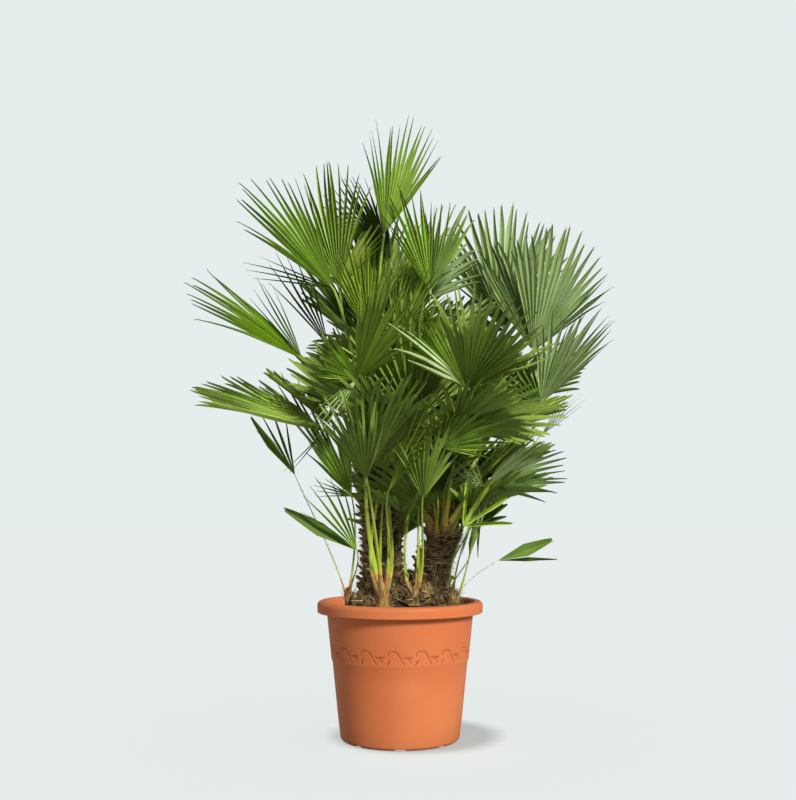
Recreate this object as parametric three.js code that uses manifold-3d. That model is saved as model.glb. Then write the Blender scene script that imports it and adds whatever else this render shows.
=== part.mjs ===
// Potted european fan palm: a clump of two leaning trunks with young suckers round their feet, in a round
// terracotta-coloured plastic pot filled with compost.
// Millimetres, +Z up. The origin is the middle of the pot's underside, and -Y is the plant's front.
import * as THREE from 'three';
import { mergeVertices } from 'three/addons/utils/BufferGeometryUtils.js';
import Module from 'manifold-3d';

const wasm = await Module();
wasm.setup();

// Driving dimensions of the pot and its compost
const POT = {
  height: 366,
  rimRadius: 225,
  rimDepth: 31,
  rimInner: 200,
  shoulderRadius: 199,
  rimRound: 11,
  innerRound: 6,
  bandStep: 2.5,
  bandBottom: 212,
  bandEdge: 1,
  footRadius: 163,
  cornerRadius: 11,
  wall: 4.5,
  floor: 9,
  sides: 44,
};
const DRAINS = { count: 8, width: 27, depth: 5, inner: 62, beyond: 10 };
const SOIL_LEVEL = 342;

// Clearance between solids that only stand against each other, and the size of edge slivers to smooth out
const GAP = 0.3;
const SLIVER = 0.06;

// Each trunk: foot and crown middles, radii, and the rows of old leaf bases that ring it
const TRUNKS = {
  left: { foot: [-46, 8], crown: [-72, 0, 742], radius: 53, flare: 17, rows: 13, crownRadius: 44 },
  right: { foot: [68, 0], crown: [124, 6, 540], radius: 46, flare: 21, rows: 8, crownRadius: 41 },
};
const TRUNK = {
  sides: 14,
  stub: 6.5,
  stubTop: 0.82,
  flareHeight: 53,
  swell: 9,
  swellFrom: 0.55,
  domeHeight: 46,
  domeSteps: [0, 0.5, 0.86, 1],
  domeBlunt: 1.04,
};

// Each sucker: foot, top, and the radius of its sheathed stem
const SUCKERS = {
  left_sucker: { foot: [-133, -42], top: [-139, -48, 398], radius: 11 },
  front_sucker: { foot: [-44, -94], top: [-46, -100, 412], radius: 16 },
  middle_sucker: { foot: [34, -74], top: [38, -82, 402], radius: 12 },
  right_sucker: { foot: [136, -62], top: [143, -70, 390], radius: 11 },
  back_sucker: { foot: [-8, 104], top: [-12, 112, 408], radius: 15 },
  far_sucker: { foot: [118, 92], top: [126, 102, 400], radius: 13 },
};
const SUCKER = { sides: 7, steps: [0, 0.3, 0.7, 1, 1.12], sizes: [1.25, 1, 0.95, 0.8, 0.35] };

// How far the rounded seat of the stalks lies below and inside a stem's own top
const TRUNK_SEAT = { drop: 40, inset: 4, below: 6 };
const SUCKER_SEAT = { drop: 14, inset: 2, below: -4 };

// Shared proportions of every frond
const BLADE = {
  thickness: 4.2,
  joined: 0.44,
  ribReach: 1.12,
  pleat: 3.4,
  shortening: 0.24,
  fused: 0.86,
};
const PETIOLE = {
  base: 8,
  end: 4.6,
  slim: 0.68,
  flatness: 0.75,
  steps: 5,
  sunk: 9,
  upward: 0.5,
  steep: 2.2,
  lift: 0.34,
  pull: 0.3,
};
const SMALL_BLADE = 260;
const CUT_BACK = [1, 0.82, 0.66];

// How the stalks' roots push each other apart over a crown
const ROOTING = { spacing: 17, crowding: 2.6, rounds: 80, lowest: 0.02 };

// Fronds set by their place on the real plant, stem by stem. hub is where the stalk meets the blade, aim is the
// middle rib's bearing and rise in degrees, roll turns the blade about it, and cup raises its sides.
const PLACED = {
  left: [
    { hub: [-179, -112, 1204], aim: [-173, 54], roll: 80, reach: 392, spread: 44, cup: 0.15, ribs: 11 },
    { hub: [-168, -60, 1218], aim: [-102, 76], roll: -167, reach: 366, spread: 46, cup: 0.15, ribs: 10 },
    { hub: [-45, 20, 1392], aim: [19, 77], roll: -74, reach: 380, spread: 50, cup: 0.25, ribs: 13 },
    { hub: [-270, -40, 1026], aim: [-174, 35], roll: 68, reach: 388, spread: 28, cup: 0.15, ribs: 8 },
    { hub: [-205, 60, 1078], aim: [-180, 62], roll: 77, reach: 325, spread: 34, cup: 0.1, ribs: 5 },
    { hub: [-200, -120, 819], aim: [165, 22], roll: 16, reach: 408, spread: 66, cup: 0.23, ribs: 18 },
    { hub: [-110, -250, 942], aim: [-57, 43], roll: -107, reach: 300, spread: 64, cup: 0.2, ribs: 13 },
    { hub: [-83, -150, 1083], aim: [-97, 68], roll: 165, reach: 262, spread: 66, cup: 0.15, ribs: 14 },
    { hub: [36, -90, 850], aim: [-95, 58], roll: -14, reach: 310, spread: 130, cup: 0.2, ribs: 16 },
    { hub: [-22, -60, 1065], aim: [-35, 61], roll: -125, reach: 262, spread: 60, cup: 0.15, ribs: 14 },
    { hub: [-127, -130, 646], aim: [-157, 64], roll: 99, reach: 215, spread: 48, cup: 0.15, ribs: 7 },
    { hub: [-26, 90, 1324], aim: [172, 60], roll: 70, reach: 312, spread: 52, cup: 0.15, ribs: 13 },
  ],
  right: [
    { hub: [84, -30, 1216], aim: [70, 64], roll: 3, reach: 335, spread: 52, cup: 0.43, ribs: 14 },
    { hub: [311, 190, 1147], aim: [127, 85], roll: 37, reach: 400, spread: 78, cup: 0.15, ribs: 17 },
    { hub: [388, 120, 1070], aim: [0, 74], roll: -87, reach: 402, spread: 56, cup: 0.15, ribs: 12 },
    { hub: [169, -270, 916], aim: [-70, 40], roll: 37, reach: 330, spread: 86, cup: 0.3, ribs: 15 },
    { hub: [381, -80, 897], aim: [-7, 56], roll: -91, reach: 322, spread: 34, cup: 0.15, ribs: 10 },
    { hub: [392, -10, 818], aim: [0, 48], roll: -83, reach: 178, spread: 32, cup: 0.1, ribs: 5 },
    { hub: [216, -160, 669], aim: [-11, 19], roll: -64, reach: 230, spread: 70, cup: 0.2, ribs: 12 },
    { hub: [143, -170, 828], aim: [-25, 12], roll: 20, reach: 300, spread: 130, cup: 0.1, ribs: 18 },
    { hub: [104, -215, 770], aim: [-85, -4], roll: 10, reach: 260, spread: 110, cup: -0.1, ribs: 14 },
    { hub: [-18, -130, 806], aim: [-120, 34], roll: 8, reach: 280, spread: 130, cup: 0.1, ribs: 14 },
    { hub: [99, -150, 628], aim: [-124, 83], roll: 140, reach: 215, spread: 50, cup: 0.15, ribs: 9 },
    { hub: [161, -200, 569], aim: [-11, 45], roll: -90, reach: 145, spread: 104, cup: 0.1, ribs: 5 },
  ],
  left_sucker: [
    { hub: [-132, -70, 655], aim: [163, 58], roll: 27, reach: 400, spread: 26, cup: 0.3, ribs: 5 },
    { hub: [-112, -150, 506], aim: [-168, 58], roll: 86, reach: 228, spread: 50, cup: 0.1, ribs: 5 },
    { hub: [-284, -60, 704], aim: [-180, 65], roll: 88, reach: 205, spread: 38, cup: 0.1, ribs: 3 },
  ],
  front_sucker: [
    { hub: [-86, -180, 720], aim: [-60, 52], roll: 0, reach: 300, spread: 90, cup: 0.3, ribs: 14 },
    { hub: [-31, -190, 658], aim: [-40, 60], roll: 10, reach: 310, spread: 30, cup: 0.1, ribs: 5 },
    { hub: [-86, -215, 690], aim: [-120, 62], roll: 0, reach: 250, spread: 70, cup: 0.2, ribs: 9 },
  ],
  middle_sucker: [
    { hub: [14, -150, 580], aim: [40, 62], roll: 30, reach: 150, spread: 26, cup: 0.1, ribs: 3 },
    { hub: [58, -190, 640], aim: [-75, 66], roll: 0, reach: 220, spread: 70, cup: 0.2, ribs: 9 },
  ],
  right_sucker: [
    { hub: [180, -130, 487], aim: [20, 76], roll: 0, reach: 180, spread: 30, cup: 0.2, ribs: 5 },
    { hub: [258, -100, 478], aim: [0, 16], roll: -66, reach: 165, spread: 20, cup: 0.1, ribs: 3 },
  ],
};

// Fronds that no one side of the plant shows: each crown's sector is filled by the turn of a real palm's
// spiral, older and lower fronds first
const FILL = [
  { on: 'left', count: 7, bearing: 78, sector: 84, rise: [46, 82], stalk: [360, 500], reach: 340, ribs: 20 },
  { on: 'right', count: 5, bearing: 78, sector: 112, rise: [42, 78], stalk: [380, 510], reach: 345, ribs: 20 },
  { on: 'right', count: 1, bearing: -120, sector: 70, rise: [66, 84], stalk: [380, 490], reach: 320, ribs: 18 },
  { on: 'back_sucker', count: 2, bearing: 100, sector: 150, rise: [50, 78], stalk: [150, 260], reach: 240, ribs: 9 },
  { on: 'far_sucker', count: 1, bearing: 30, sector: 90, rise: [56, 74], stalk: [150, 220], reach: 220, ribs: 8 },
];
const FILL_RULE = {
  turn: 0.381966,
  nod: 24,
  wander: 14,
  roll: 42,
  reach: [0.9, 1.04],
  spread: [127.5, 162],
  cup: [0.1, 0.3],
};
const SEED = 80;

const FINISH = {
  pot: { color: 0xd4804f, roughness: 0.5 },
  soil: { color: 0x3b2a1d, roughness: 0.95 },
  bark: { color: 0x5b4630, roughness: 0.95 },
  sheath: { color: 0xa5713f, roughness: 0.85 },
  leaf: { color: 0x4f7d2c, roughness: 0.55 },
  young: { color: 0x6f8f2b, roughness: 0.55 },
};

function material(name) {
  return new THREE.MeshStandardMaterial({ ...FINISH[name], metalness: 0, flatShading: true });
}

// A repeatable run of numbers from 0 to 1
function numbersFrom(seed) {
  let state = seed >>> 0;
  return () => {
    state = (state + 0x6d2b79f5) >>> 0;
    let mixed = Math.imul(state ^ (state >>> 15), state | 1);
    mixed = (mixed + Math.imul(mixed ^ (mixed >>> 7), mixed | 61)) ^ mixed;
    return ((mixed ^ (mixed >>> 14)) >>> 0) / 4294967296;
  };
}

function vec(values) {
  return new THREE.Vector3(...values);
}

function mix(a, b, t) {
  return a + (b - a) * t;
}

// Unit vector for a bearing (from +X towards +Y) and a rise above level, both in degrees
function direction(bearing, rise) {
  const turn = THREE.MathUtils.degToRad(bearing);
  const up = THREE.MathUtils.degToRad(rise);
  return new THREE.Vector3(Math.cos(up) * Math.cos(turn), Math.cos(up) * Math.sin(turn), Math.sin(up));
}

function geometryOf(points, faces) {
  const geometry = new THREE.BufferGeometry();
  const flat = points.flatMap((point) => [point.x, point.y, point.z]);
  geometry.setAttribute('position', new THREE.Float32BufferAttribute(flat, 3));
  geometry.setIndex(faces.flat());
  return geometry;
}

// Closed body through rings of points, each ring the same length and counter-clockwise seen from its far side
function loft(rings) {
  const count = rings[0].length;
  const points = rings.flat();
  const faces = [];
  for (let r = 0; r < rings.length - 1; r += 1) {
    for (let i = 0; i < count; i += 1) {
      const j = (i + 1) % count;
      const low = r * count;
      const high = low + count;
      faces.push([low + i, low + j, high + j], [low + i, high + j, high + i]);
    }
  }
  const top = (rings.length - 1) * count;
  for (let i = 1; i < count - 1; i += 1) {
    faces.push([0, i + 1, i], [top, top + i, top + i + 1]);
  }
  return geometryOf(points, faces);
}

function toSolid(geometry) {
  const bare = geometry.clone();
  bare.deleteAttribute('normal');
  bare.deleteAttribute('uv');
  const merged = mergeVertices(bare, 1e-4);
  return new wasm.Manifold(new wasm.Mesh({
    numProp: 3,
    vertProperties: new Float32Array(merged.getAttribute('position').array),
    triVerts: new Uint32Array(merged.getIndex().array),
  }));
}

function toGeometry(solid) {
  const mesh = solid.getMesh();
  const geometry = new THREE.BufferGeometry();
  geometry.setAttribute('position', new THREE.Float32BufferAttribute(mesh.vertProperties, 3));
  geometry.setIndex(new THREE.BufferAttribute(mesh.triVerts, 1));
  geometry.computeVertexNormals();
  return geometry;
}

// The largest body of a cut or joined solid, with the slivers that such work leaves along its edges smoothed out
function largestPiece(solid) {
  const pieces = solid.decompose();
  return pieces.reduce((best, piece) => (piece.volume() > best.volume() ? piece : best)).simplify(SLIVER);
}

function lathe(profile, sides) {
  const geometry = new THREE.LatheGeometry(profile.map(([r, z]) => new THREE.Vector2(r, z)), sides);
  geometry.rotateX(Math.PI / 2);
  return geometry;
}

// Quarter-round corner from one angle to another, as profile points
function arc(centre, radius, from, to, steps) {
  return Array.from({ length: steps + 1 }, (_, k) => {
    const angle = THREE.MathUtils.degToRad(mix(from, to, k / steps));
    return [centre[0] + radius * Math.cos(angle), centre[1] + radius * Math.sin(angle)];
  });
}

// Radius of the pot's outer wall at a height, with the shallow step under the ornament band
function potRadius(z) {
  const slope = (POT.shoulderRadius - POT.footRadius) / (POT.height - POT.rimDepth);
  const step = z < POT.bandBottom ? 0 : POT.bandStep;
  return POT.footRadius + slope * z + step - POT.bandStep;
}

function potShape() {
  const { height, rimRadius, rimInner, rimRound, innerRound, cornerRadius, wall, floor } = POT;
  const lipBottom = height - POT.rimDepth;
  const outer = [
    [0, 0],
    ...arc([potRadius(0) - cornerRadius, cornerRadius], cornerRadius, -90, -6, 3),
    [potRadius(POT.bandBottom - POT.bandEdge), POT.bandBottom - POT.bandEdge],
    [potRadius(POT.bandBottom + POT.bandEdge), POT.bandBottom + POT.bandEdge],
    [potRadius(height - wall), height - 2 * wall],
    [rimRadius - wall, height - 2 * wall],
    [rimRadius - wall, lipBottom],
    [rimRadius - 1, lipBottom],
    ...arc([rimRadius - rimRound, height - rimRound], rimRound, 0, 90, 4),
    ...arc([rimInner + innerRound, height - innerRound], innerRound, 90, 180, 2),
    [potRadius(height - 3 * wall) - wall, height - 3 * wall],
    [potRadius(floor) - wall, floor],
    [0, floor],
  ];
  let pot = toSolid(lathe(outer, POT.sides));
  for (let k = 0; k < DRAINS.count; k += 1) {
    const length = POT.footRadius - DRAINS.inner + DRAINS.beyond;
    const channel = new THREE.BoxGeometry(length, DRAINS.width, 2 * DRAINS.depth);
    channel.translate(DRAINS.inner + length / 2, 0, 0);
    channel.rotateZ(-Math.PI / 2 + (k * 2 * Math.PI) / DRAINS.count);
    pot = pot.subtract(toSolid(channel));
  }
  return pot;
}

function soilShape() {
  const inner = (z) => potRadius(z) - POT.wall - GAP;
  return toSolid(lathe([
    [0, POT.floor + GAP],
    [inner(POT.floor + GAP), POT.floor + GAP],
    [inner(SOIL_LEVEL), SOIL_LEVEL],
    [0, SOIL_LEVEL],
  ], POT.sides));
}

// Middle of a trunk at a height: it leaves the soil upright and leans steadily towards its crown
function trunkMiddle(trunk, z) {
  const t = (z - SOIL_LEVEL) / (trunk.crown[2] - SOIL_LEVEL);
  const lean = t * t * (1.5 - 0.5 * t);
  return [mix(trunk.foot[0], trunk.crown[0], lean), mix(trunk.foot[1], trunk.crown[1], lean)];
}

function trunkRadius(trunk, z) {
  const t = (z - SOIL_LEVEL) / (trunk.crown[2] - SOIL_LEVEL);
  const flare = trunk.flare * Math.exp(-(z - SOIL_LEVEL) / TRUNK.flareHeight);
  const swell = TRUNK.swell * Math.max(0, t - TRUNK.swellFrom);
  return mix(trunk.radius, trunk.crownRadius, t) + flare + swell;
}

function trunkRing(trunk, z, radius, row, depth) {
  const [x, y] = trunkMiddle(trunk, z);
  return Array.from({ length: TRUNK.sides }, (_, k) => {
    const angle = ((k + (row % 2) / 2) * 2 * Math.PI) / TRUNK.sides;
    const reach = radius + (k % 2 ? depth : 0);
    return new THREE.Vector3(x + reach * Math.cos(angle), y + reach * Math.sin(angle), z);
  });
}

// A trunk: every row of leaf bases flares to its upper edge, then steps back in to the row above.
// grow swells the whole trunk, for cutting what stands against it.
function trunkShape(trunk, grow = 0) {
  const bottom = SOIL_LEVEL + GAP;
  const rowHeight = (trunk.crown[2] - bottom) / trunk.rows;
  const rings = [];
  for (let row = 0; row < trunk.rows; row += 1) {
    const low = bottom + row * rowHeight - (row ? 0 : grow);
    const high = bottom + (row + TRUNK.stubTop) * rowHeight;
    rings.push(trunkRing(trunk, low, trunkRadius(trunk, low) + grow, 0, 0));
    rings.push(trunkRing(trunk, high, trunkRadius(trunk, high) + grow, 0, TRUNK.stub));
  }
  for (const lift of TRUNK.domeSteps) {
    const z = trunk.crown[2] + lift * TRUNK.domeHeight + grow;
    const radius = trunkRadius(trunk, trunk.crown[2]) * Math.sqrt(TRUNK.domeBlunt - lift * lift) + grow;
    const ring = trunkRing(trunk, trunk.crown[2], radius, 0, 0);
    rings.push(ring.map((point) => point.setZ(z)));
  }
  return toSolid(loft(rings));
}

function suckerShape(sucker, grow = 0) {
  const bottom = SOIL_LEVEL + GAP;
  const rings = SUCKER.steps.map((t, k) => {
    const x = mix(sucker.foot[0], sucker.top[0], t);
    const y = mix(sucker.foot[1], sucker.top[1], t);
    const z = mix(bottom, sucker.top[2], t) + (k ? grow : -grow);
    const radius = sucker.radius * SUCKER.sizes[k] + grow;
    return Array.from({ length: SUCKER.sides }, (_, i) => {
      const angle = (i * 2 * Math.PI) / SUCKER.sides;
      return new THREE.Vector3(x + radius * Math.cos(angle), y + radius * Math.sin(angle), z);
    });
  });
  return toSolid(loft(rings));
}

// The rounded seat that a stem's stalks come out of: its middle, radius across and height
function crownOf(name) {
  if (TRUNKS[name]) {
    const trunk = TRUNKS[name];
    const level = trunk.crown[2] - TRUNK_SEAT.drop;
    const [x, y] = trunkMiddle(trunk, level);
    return {
      middle: new THREE.Vector3(x, y, level),
      across: trunkRadius(trunk, trunk.crown[2]) - TRUNK_SEAT.inset,
      up: TRUNK.domeHeight + TRUNK_SEAT.drop - TRUNK_SEAT.below,
    };
  }
  const sucker = SUCKERS[name];
  return {
    middle: new THREE.Vector3(sucker.top[0], sucker.top[1], sucker.top[2] - SUCKER_SEAT.drop),
    across: sucker.radius - SUCKER_SEAT.inset,
    up: SUCKER_SEAT.drop - SUCKER_SEAT.below,
  };
}

// The fill-in fronds of one crown, oldest first, each a spiral's turn on from the last
function fillFronds(rule, random) {
  const crown = crownOf(rule.on);
  return Array.from({ length: rule.count }, (_, k) => {
    const age = (k + 0.5) / rule.count;
    const turn = ((k + 1) * FILL_RULE.turn) % 1;
    const bearing = rule.bearing + (turn - 0.5) * rule.sector + (random() - 0.5) * FILL_RULE.wander;
    const rise = mix(rule.rise[0], rule.rise[1], age);
    const stalk = mix(rule.stalk[0], rule.stalk[1], random());
    const hub = crown.middle.clone().addScaledVector(direction(bearing, rise), stalk);
    const nod = FILL_RULE.nod * (1 - age) * (random() + 0.3);
    return {
      on: rule.on,
      hub: hub.toArray(),
      aim: [bearing + (random() - 0.5) * FILL_RULE.wander, rise - nod],
      roll: (random() - 0.5) * FILL_RULE.roll,
      reach: rule.reach * mix(...FILL_RULE.reach, random()),
      spread: mix(...FILL_RULE.spread, random()),
      cup: mix(...FILL_RULE.cup, random()),
      ribs: rule.ribs,
    };
  });
}

// Spreads the stalks' roots over the crown's rounded top, so that no two start in one place
function rootStalks(fronds) {
  for (const name of new Set(fronds.map((frond) => frond.on))) {
    const crown = crownOf(name);
    const own = fronds.filter((frond) => frond.on === name);
    const ways = own.map((frond) => vec(frond.hub).sub(crown.middle).normalize());
    const spacing = Math.min(ROOTING.spacing / crown.across, ROOTING.crowding / Math.sqrt(own.length));
    for (let round = 0; round < ROOTING.rounds; round += 1) {
      for (let i = 0; i < ways.length; i += 1) {
        for (let j = 0; j < i; j += 1) {
          const apart = ways[i].clone().sub(ways[j]);
          const short = spacing - apart.length();
          if (short > 0) {
            apart.setLength(short / 2 + 1e-4);
            ways[i].add(apart).normalize();
            ways[j].sub(apart).normalize();
          }
        }
      }
      ways.forEach((way) => {
        way.z = Math.max(way.z, ROOTING.lowest);
        way.normalize();
      });
    }
    own.forEach((frond, k) => {
      const reach = new THREE.Vector3(crown.across, crown.across, crown.up);
      frond.way = ways[k];
      frond.root = crown.middle.clone().add(ways[k].clone().multiply(reach));
    });
  }
}

// Middle rib, side and face directions of a blade
function bladeAxes(frond) {
  const along = direction(frond.aim[0], frond.aim[1]);
  const faceUp = direction(frond.aim[0] + 180, 90 - frond.aim[1]);
  const level = new THREE.Vector3().crossVectors(faceUp, along);
  const roll = THREE.MathUtils.degToRad(frond.roll);
  const face = faceUp.multiplyScalar(Math.cos(roll)).addScaledVector(level, Math.sin(roll));
  const side = new THREE.Vector3().crossVectors(face, along);
  return { along, side, face };
}

// Centre line of a stalk: up out of the crown, then over into the line of the middle rib
function stalkCurve(frond, along) {
  const hub = vec(frond.hub);
  const length = hub.distanceTo(frond.root);
  const upward = TRUNKS[frond.on] ? PETIOLE.upward : PETIOLE.steep;
  const out = frond.way.clone().add(new THREE.Vector3(0, 0, upward)).normalize();
  const chord = hub.clone().sub(frond.root).normalize();
  const end = chord.add(along).normalize();
  return new THREE.CubicBezierCurve3(
    frond.root,
    frond.root.clone().addScaledVector(out, length * PETIOLE.lift),
    hub.clone().addScaledVector(end, -length * PETIOLE.pull),
    hub,
  );
}

// Rings of the stalk's four-sided, tapering body. The last one stands square to the blade at its hub.
function stalkRings(frond, axes) {
  const slim = frond.reach < SMALL_BLADE ? PETIOLE.slim : 1;
  const curve = stalkCurve(frond, axes.along);
  return Array.from({ length: PETIOLE.steps + 1 }, (_, k) => {
    const t = k / PETIOLE.steps;
    const way = t < 1 ? curve.getTangent(t) : axes.along;
    const at = curve.getPoint(t).addScaledVector(way, t ? 0 : -PETIOLE.sunk);
    const size = mix(PETIOLE.base, PETIOLE.end, t) * slim;
    const across = axes.side.clone().addScaledVector(way, -axes.side.dot(way)).normalize();
    const top = new THREE.Vector3().crossVectors(way, across);
    const high = t < 1 ? size * PETIOLE.flatness : BLADE.thickness / 2;
    return [
      at.clone().addScaledVector(across, size),
      at.clone().addScaledVector(top, high),
      at.clone().addScaledVector(across, -size),
      at.clone().addScaledVector(top, -high),
    ];
  });
}

// Direction of the blade at an angle either side of its middle rib
function bladeWay(frond, axes, angle) {
  return axes.along.clone().multiplyScalar(Math.cos(angle))
    .addScaledVector(axes.side, Math.sin(angle))
    .addScaledVector(axes.face, frond.cup * (1 - Math.cos(angle)))
    .normalize();
}

// One leaflet's key points: two notches that it shares with its neighbours, its rib and its tip
function leafletPoints(frond, axes, index, keep) {
  const half = THREE.MathUtils.degToRad(frond.spread) / 2;
  const hub = vec(frond.hub);
  const place = (step, part, lift) => {
    const k = -1 + (2 * step) / frond.ribs;
    const reach = frond.reach * (1 - BLADE.shortening * k * k) * part;
    return hub.clone().addScaledVector(bladeWay(frond, axes, k * half), reach).addScaledVector(axes.face, lift);
  };
  return {
    hub,
    before: place(index, BLADE.joined, BLADE.pleat),
    after: place(index + 1, BLADE.joined, BLADE.pleat),
    rib: place(index + 0.5, BLADE.joined * BLADE.ribReach, -BLADE.pleat),
    tip: place(index + 0.5, keep, 0),
  };
}

// A closed run of neighbouring leaflets that share their notches. It grows out of the stalk's last ring, or out
// of a bare edge set back inside the stalk.
function leafletRun(leaflets, axes, rings = null) {
  const lift = axes.face.clone().multiplyScalar((BLADE.thickness / 2) * (rings ? 1 : BLADE.fused));
  const points = [];
  const faces = [];
  const pair = (point) => {
    points.push(point.clone().add(lift), point.clone().sub(lift));
    return points.length - 2;
  };
  const sheet = (a, b, c) => faces.push([a, b, c], [a + 1, c + 1, b + 1]);
  let hub;
  let before;
  if (rings) {
    rings.forEach(([first, top, last, under]) => points.push(top, under, first, last));
    const order = [2, 0, 3, 1];
    for (let low = 0; low < points.length - 4; low += 4) {
      order.forEach((i, k) => {
        const j = order[(k + 1) % 4];
        faces.push([low + i, low + j, low + 4 + j], [low + i, low + 4 + j, low + 4 + i]);
      });
    }
    faces.push([0, 2, 1], [0, 1, 3]);
    hub = points.length - 4;
    before = pair(leaflets[0].before);
    faces.push([hub, hub + 3, before], [hub + 3, before + 1, before], [hub + 3, hub + 1, before + 1]);
  } else {
    hub = pair(leaflets[0].hub.clone().addScaledVector(axes.along, -PETIOLE.sunk));
    before = pair(leaflets[0].before);
    faces.push([hub, hub + 1, before + 1], [hub, before + 1, before]);
  }
  leaflets.forEach((leaflet) => {
    const rib = pair(leaflet.rib);
    const after = pair(leaflet.after);
    const tip = points.push(leaflet.tip.clone()) - 1;
    sheet(hub, before, rib);
    sheet(hub, rib, after);
    faces.push([before, tip, rib], [before + 1, rib + 1, tip], [rib, tip, after], [rib + 1, after + 1, tip]);
    faces.push([before, before + 1, tip], [after, tip, after + 1]);
    before = after;
  });
  if (rings) {
    faces.push([hub, before, hub + 2], [hub + 2, before, before + 1], [hub + 2, before + 1, hub + 1]);
  } else {
    faces.push([hub, before, before + 1], [hub, before + 1, hub + 1]);
  }
  return toSolid(geometryOf(points, faces));
}

function boxesMeet(a, b) {
  return [0, 1, 2].every((k) => a.min[k] <= b.max[k] && b.min[k] <= a.max[k]);
}

function touches(solid, others) {
  const box = solid.boundingBox();
  return others.some((other) => boxesMeet(box, other.box) && solid.intersect(other.solid).volume() > 1e-4);
}

function boxed(solid) {
  return { solid, box: solid.boundingBox() };
}

// A blade's leaflets in runs: each at full length, else cut back, else left out where it would touch what is
// already there
function leafletRuns(frond, axes, others) {
  const runs = [[]];
  for (let index = 0; index < frond.ribs; index += 1) {
    const keep = CUT_BACK.find((part) => {
      return !touches(leafletRun([leafletPoints(frond, axes, index, part)], axes), others);
    });
    if (keep) {
      runs.at(-1).push(leafletPoints(frond, axes, index, keep));
    } else {
      runs.push([]);
    }
  }
  return runs.filter((run) => run.length).sort((a, b) => b.length - a.length);
}

// A whole frond: the stalk with its longest run of leaflets, the other runs fused on
function frondShape(frond, axes, others) {
  const [main, ...rest] = leafletRuns(frond, axes, others);
  const whole = leafletRun(main, axes, stalkRings(frond, axes));
  return rest.reduce((all, run) => all.add(leafletRun(run, axes)), whole);
}

const plant = new THREE.Group();
plant.name = 'potted_fan_palm';

function addMesh(name, solid, finish) {
  const mesh = new THREE.Mesh(toGeometry(solid), material(finish));
  mesh.name = name;
  plant.add(mesh);
}

addMesh('pot', potShape(), 'pot');
addMesh('soil', soilShape(), 'soil');

const clump = [];
const stems = [];
for (const [name, trunk] of Object.entries(TRUNKS)) {
  const solid = largestPiece(stems.reduce((left, stem) => left.subtract(stem), trunkShape(trunk)));
  stems.push(trunkShape(trunk, GAP));
  clump.push(boxed(solid));
  addMesh(`trunk_${name}`, solid, 'bark');
}
for (const [name, sucker] of Object.entries(SUCKERS)) {
  const solid = largestPiece(stems.reduce((left, stem) => left.subtract(stem), suckerShape(sucker)));
  stems.push(suckerShape(sucker, GAP));
  clump.push(boxed(solid));
  addMesh(name, solid, 'sheath');
}

const random = numbersFrom(SEED);
const placed = Object.entries(PLACED).flatMap(([on, own]) => own.map((frond) => ({ on, ...frond })));
const fronds = [...placed, ...FILL.flatMap((rule) => fillFronds(rule, random))];
rootStalks(fronds);
const clear = stems.reduce((all, stem) => all.add(stem));

// Stalks first, so that every blade keeps clear of every stalk
const stalks = fronds.map((frond) => {
  return boxed(largestPiece(toSolid(loft(stalkRings(frond, bladeAxes(frond)))).subtract(clear)));
});
const grown = [];
fronds.forEach((frond, k) => {
  const others = [...clump, ...stalks.slice(0, k), ...stalks.slice(k + 1), ...grown];
  const whole = largestPiece(frondShape(frond, bladeAxes(frond), others).subtract(clear));
  grown.push(boxed(whole));
  addMesh(`frond_${String(k + 1).padStart(2, '0')}`, whole, TRUNKS[frond.on] ? 'leaf' : 'young');
});

export default plant;
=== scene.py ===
"""Looks of a potted european fan palm: pot, compost, shaggy trunks, suckers, and every frond by its leaflets.

Metres, +Z up. The origin is the middle of the pot's underside, and -Y is the plant's front.
"""

import logging
from collections.abc import Callable, Iterable, Sequence
from dataclasses import dataclass, field
from enum import Enum
from functools import cache
from math import atan2, cos, exp, hypot, pi, radians, sin, sqrt, tau
from random import Random

import bmesh
import bpy
from bpy.types import Material, Node, NodeSocket, NodeTree, Object
from mathutils import Matrix, Vector, noise


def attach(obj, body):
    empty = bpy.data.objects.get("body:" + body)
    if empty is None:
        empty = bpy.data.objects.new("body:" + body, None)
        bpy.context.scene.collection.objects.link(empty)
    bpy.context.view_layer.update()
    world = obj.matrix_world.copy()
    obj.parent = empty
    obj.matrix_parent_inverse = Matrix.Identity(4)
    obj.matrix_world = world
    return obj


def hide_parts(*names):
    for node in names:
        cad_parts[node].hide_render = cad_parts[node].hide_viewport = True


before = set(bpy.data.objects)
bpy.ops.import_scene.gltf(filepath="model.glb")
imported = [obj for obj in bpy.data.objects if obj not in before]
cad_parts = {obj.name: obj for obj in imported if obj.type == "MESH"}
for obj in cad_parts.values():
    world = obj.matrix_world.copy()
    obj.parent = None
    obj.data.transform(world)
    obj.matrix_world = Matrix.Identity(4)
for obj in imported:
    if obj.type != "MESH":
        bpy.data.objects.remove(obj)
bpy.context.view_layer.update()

LOG = logging.getLogger("fan_palm")
Colour = tuple[float, float, float]
Ring = tuple[Vector, float]
Shape = tuple[list[Vector], list[tuple[int, ...]]]
Stroke = list[tuple[float, float, float]]

# Sizes that more than one class uses
SOIL_LEVEL = 0.342
GAP = 0.0003
GOLDEN_TURN = 2.399963
FROND_NODES = 50
# The name of the pot's per-point mask for the painted shade in the garland's strokes.
GROOVE_SHADE = "groove_shade"
UP = Vector((0.0, 0.0, 1.0))


class Slot(Enum):
    """Material slot names. No piece in this script takes its finish from them."""

    POT = "pot_plastic"
    COMPOST = "compost"
    FIBRE = "trunk_fibre"
    SHEATH = "sheath"
    FROND = "frond_green"
    YOUNG = "young_green"


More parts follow.
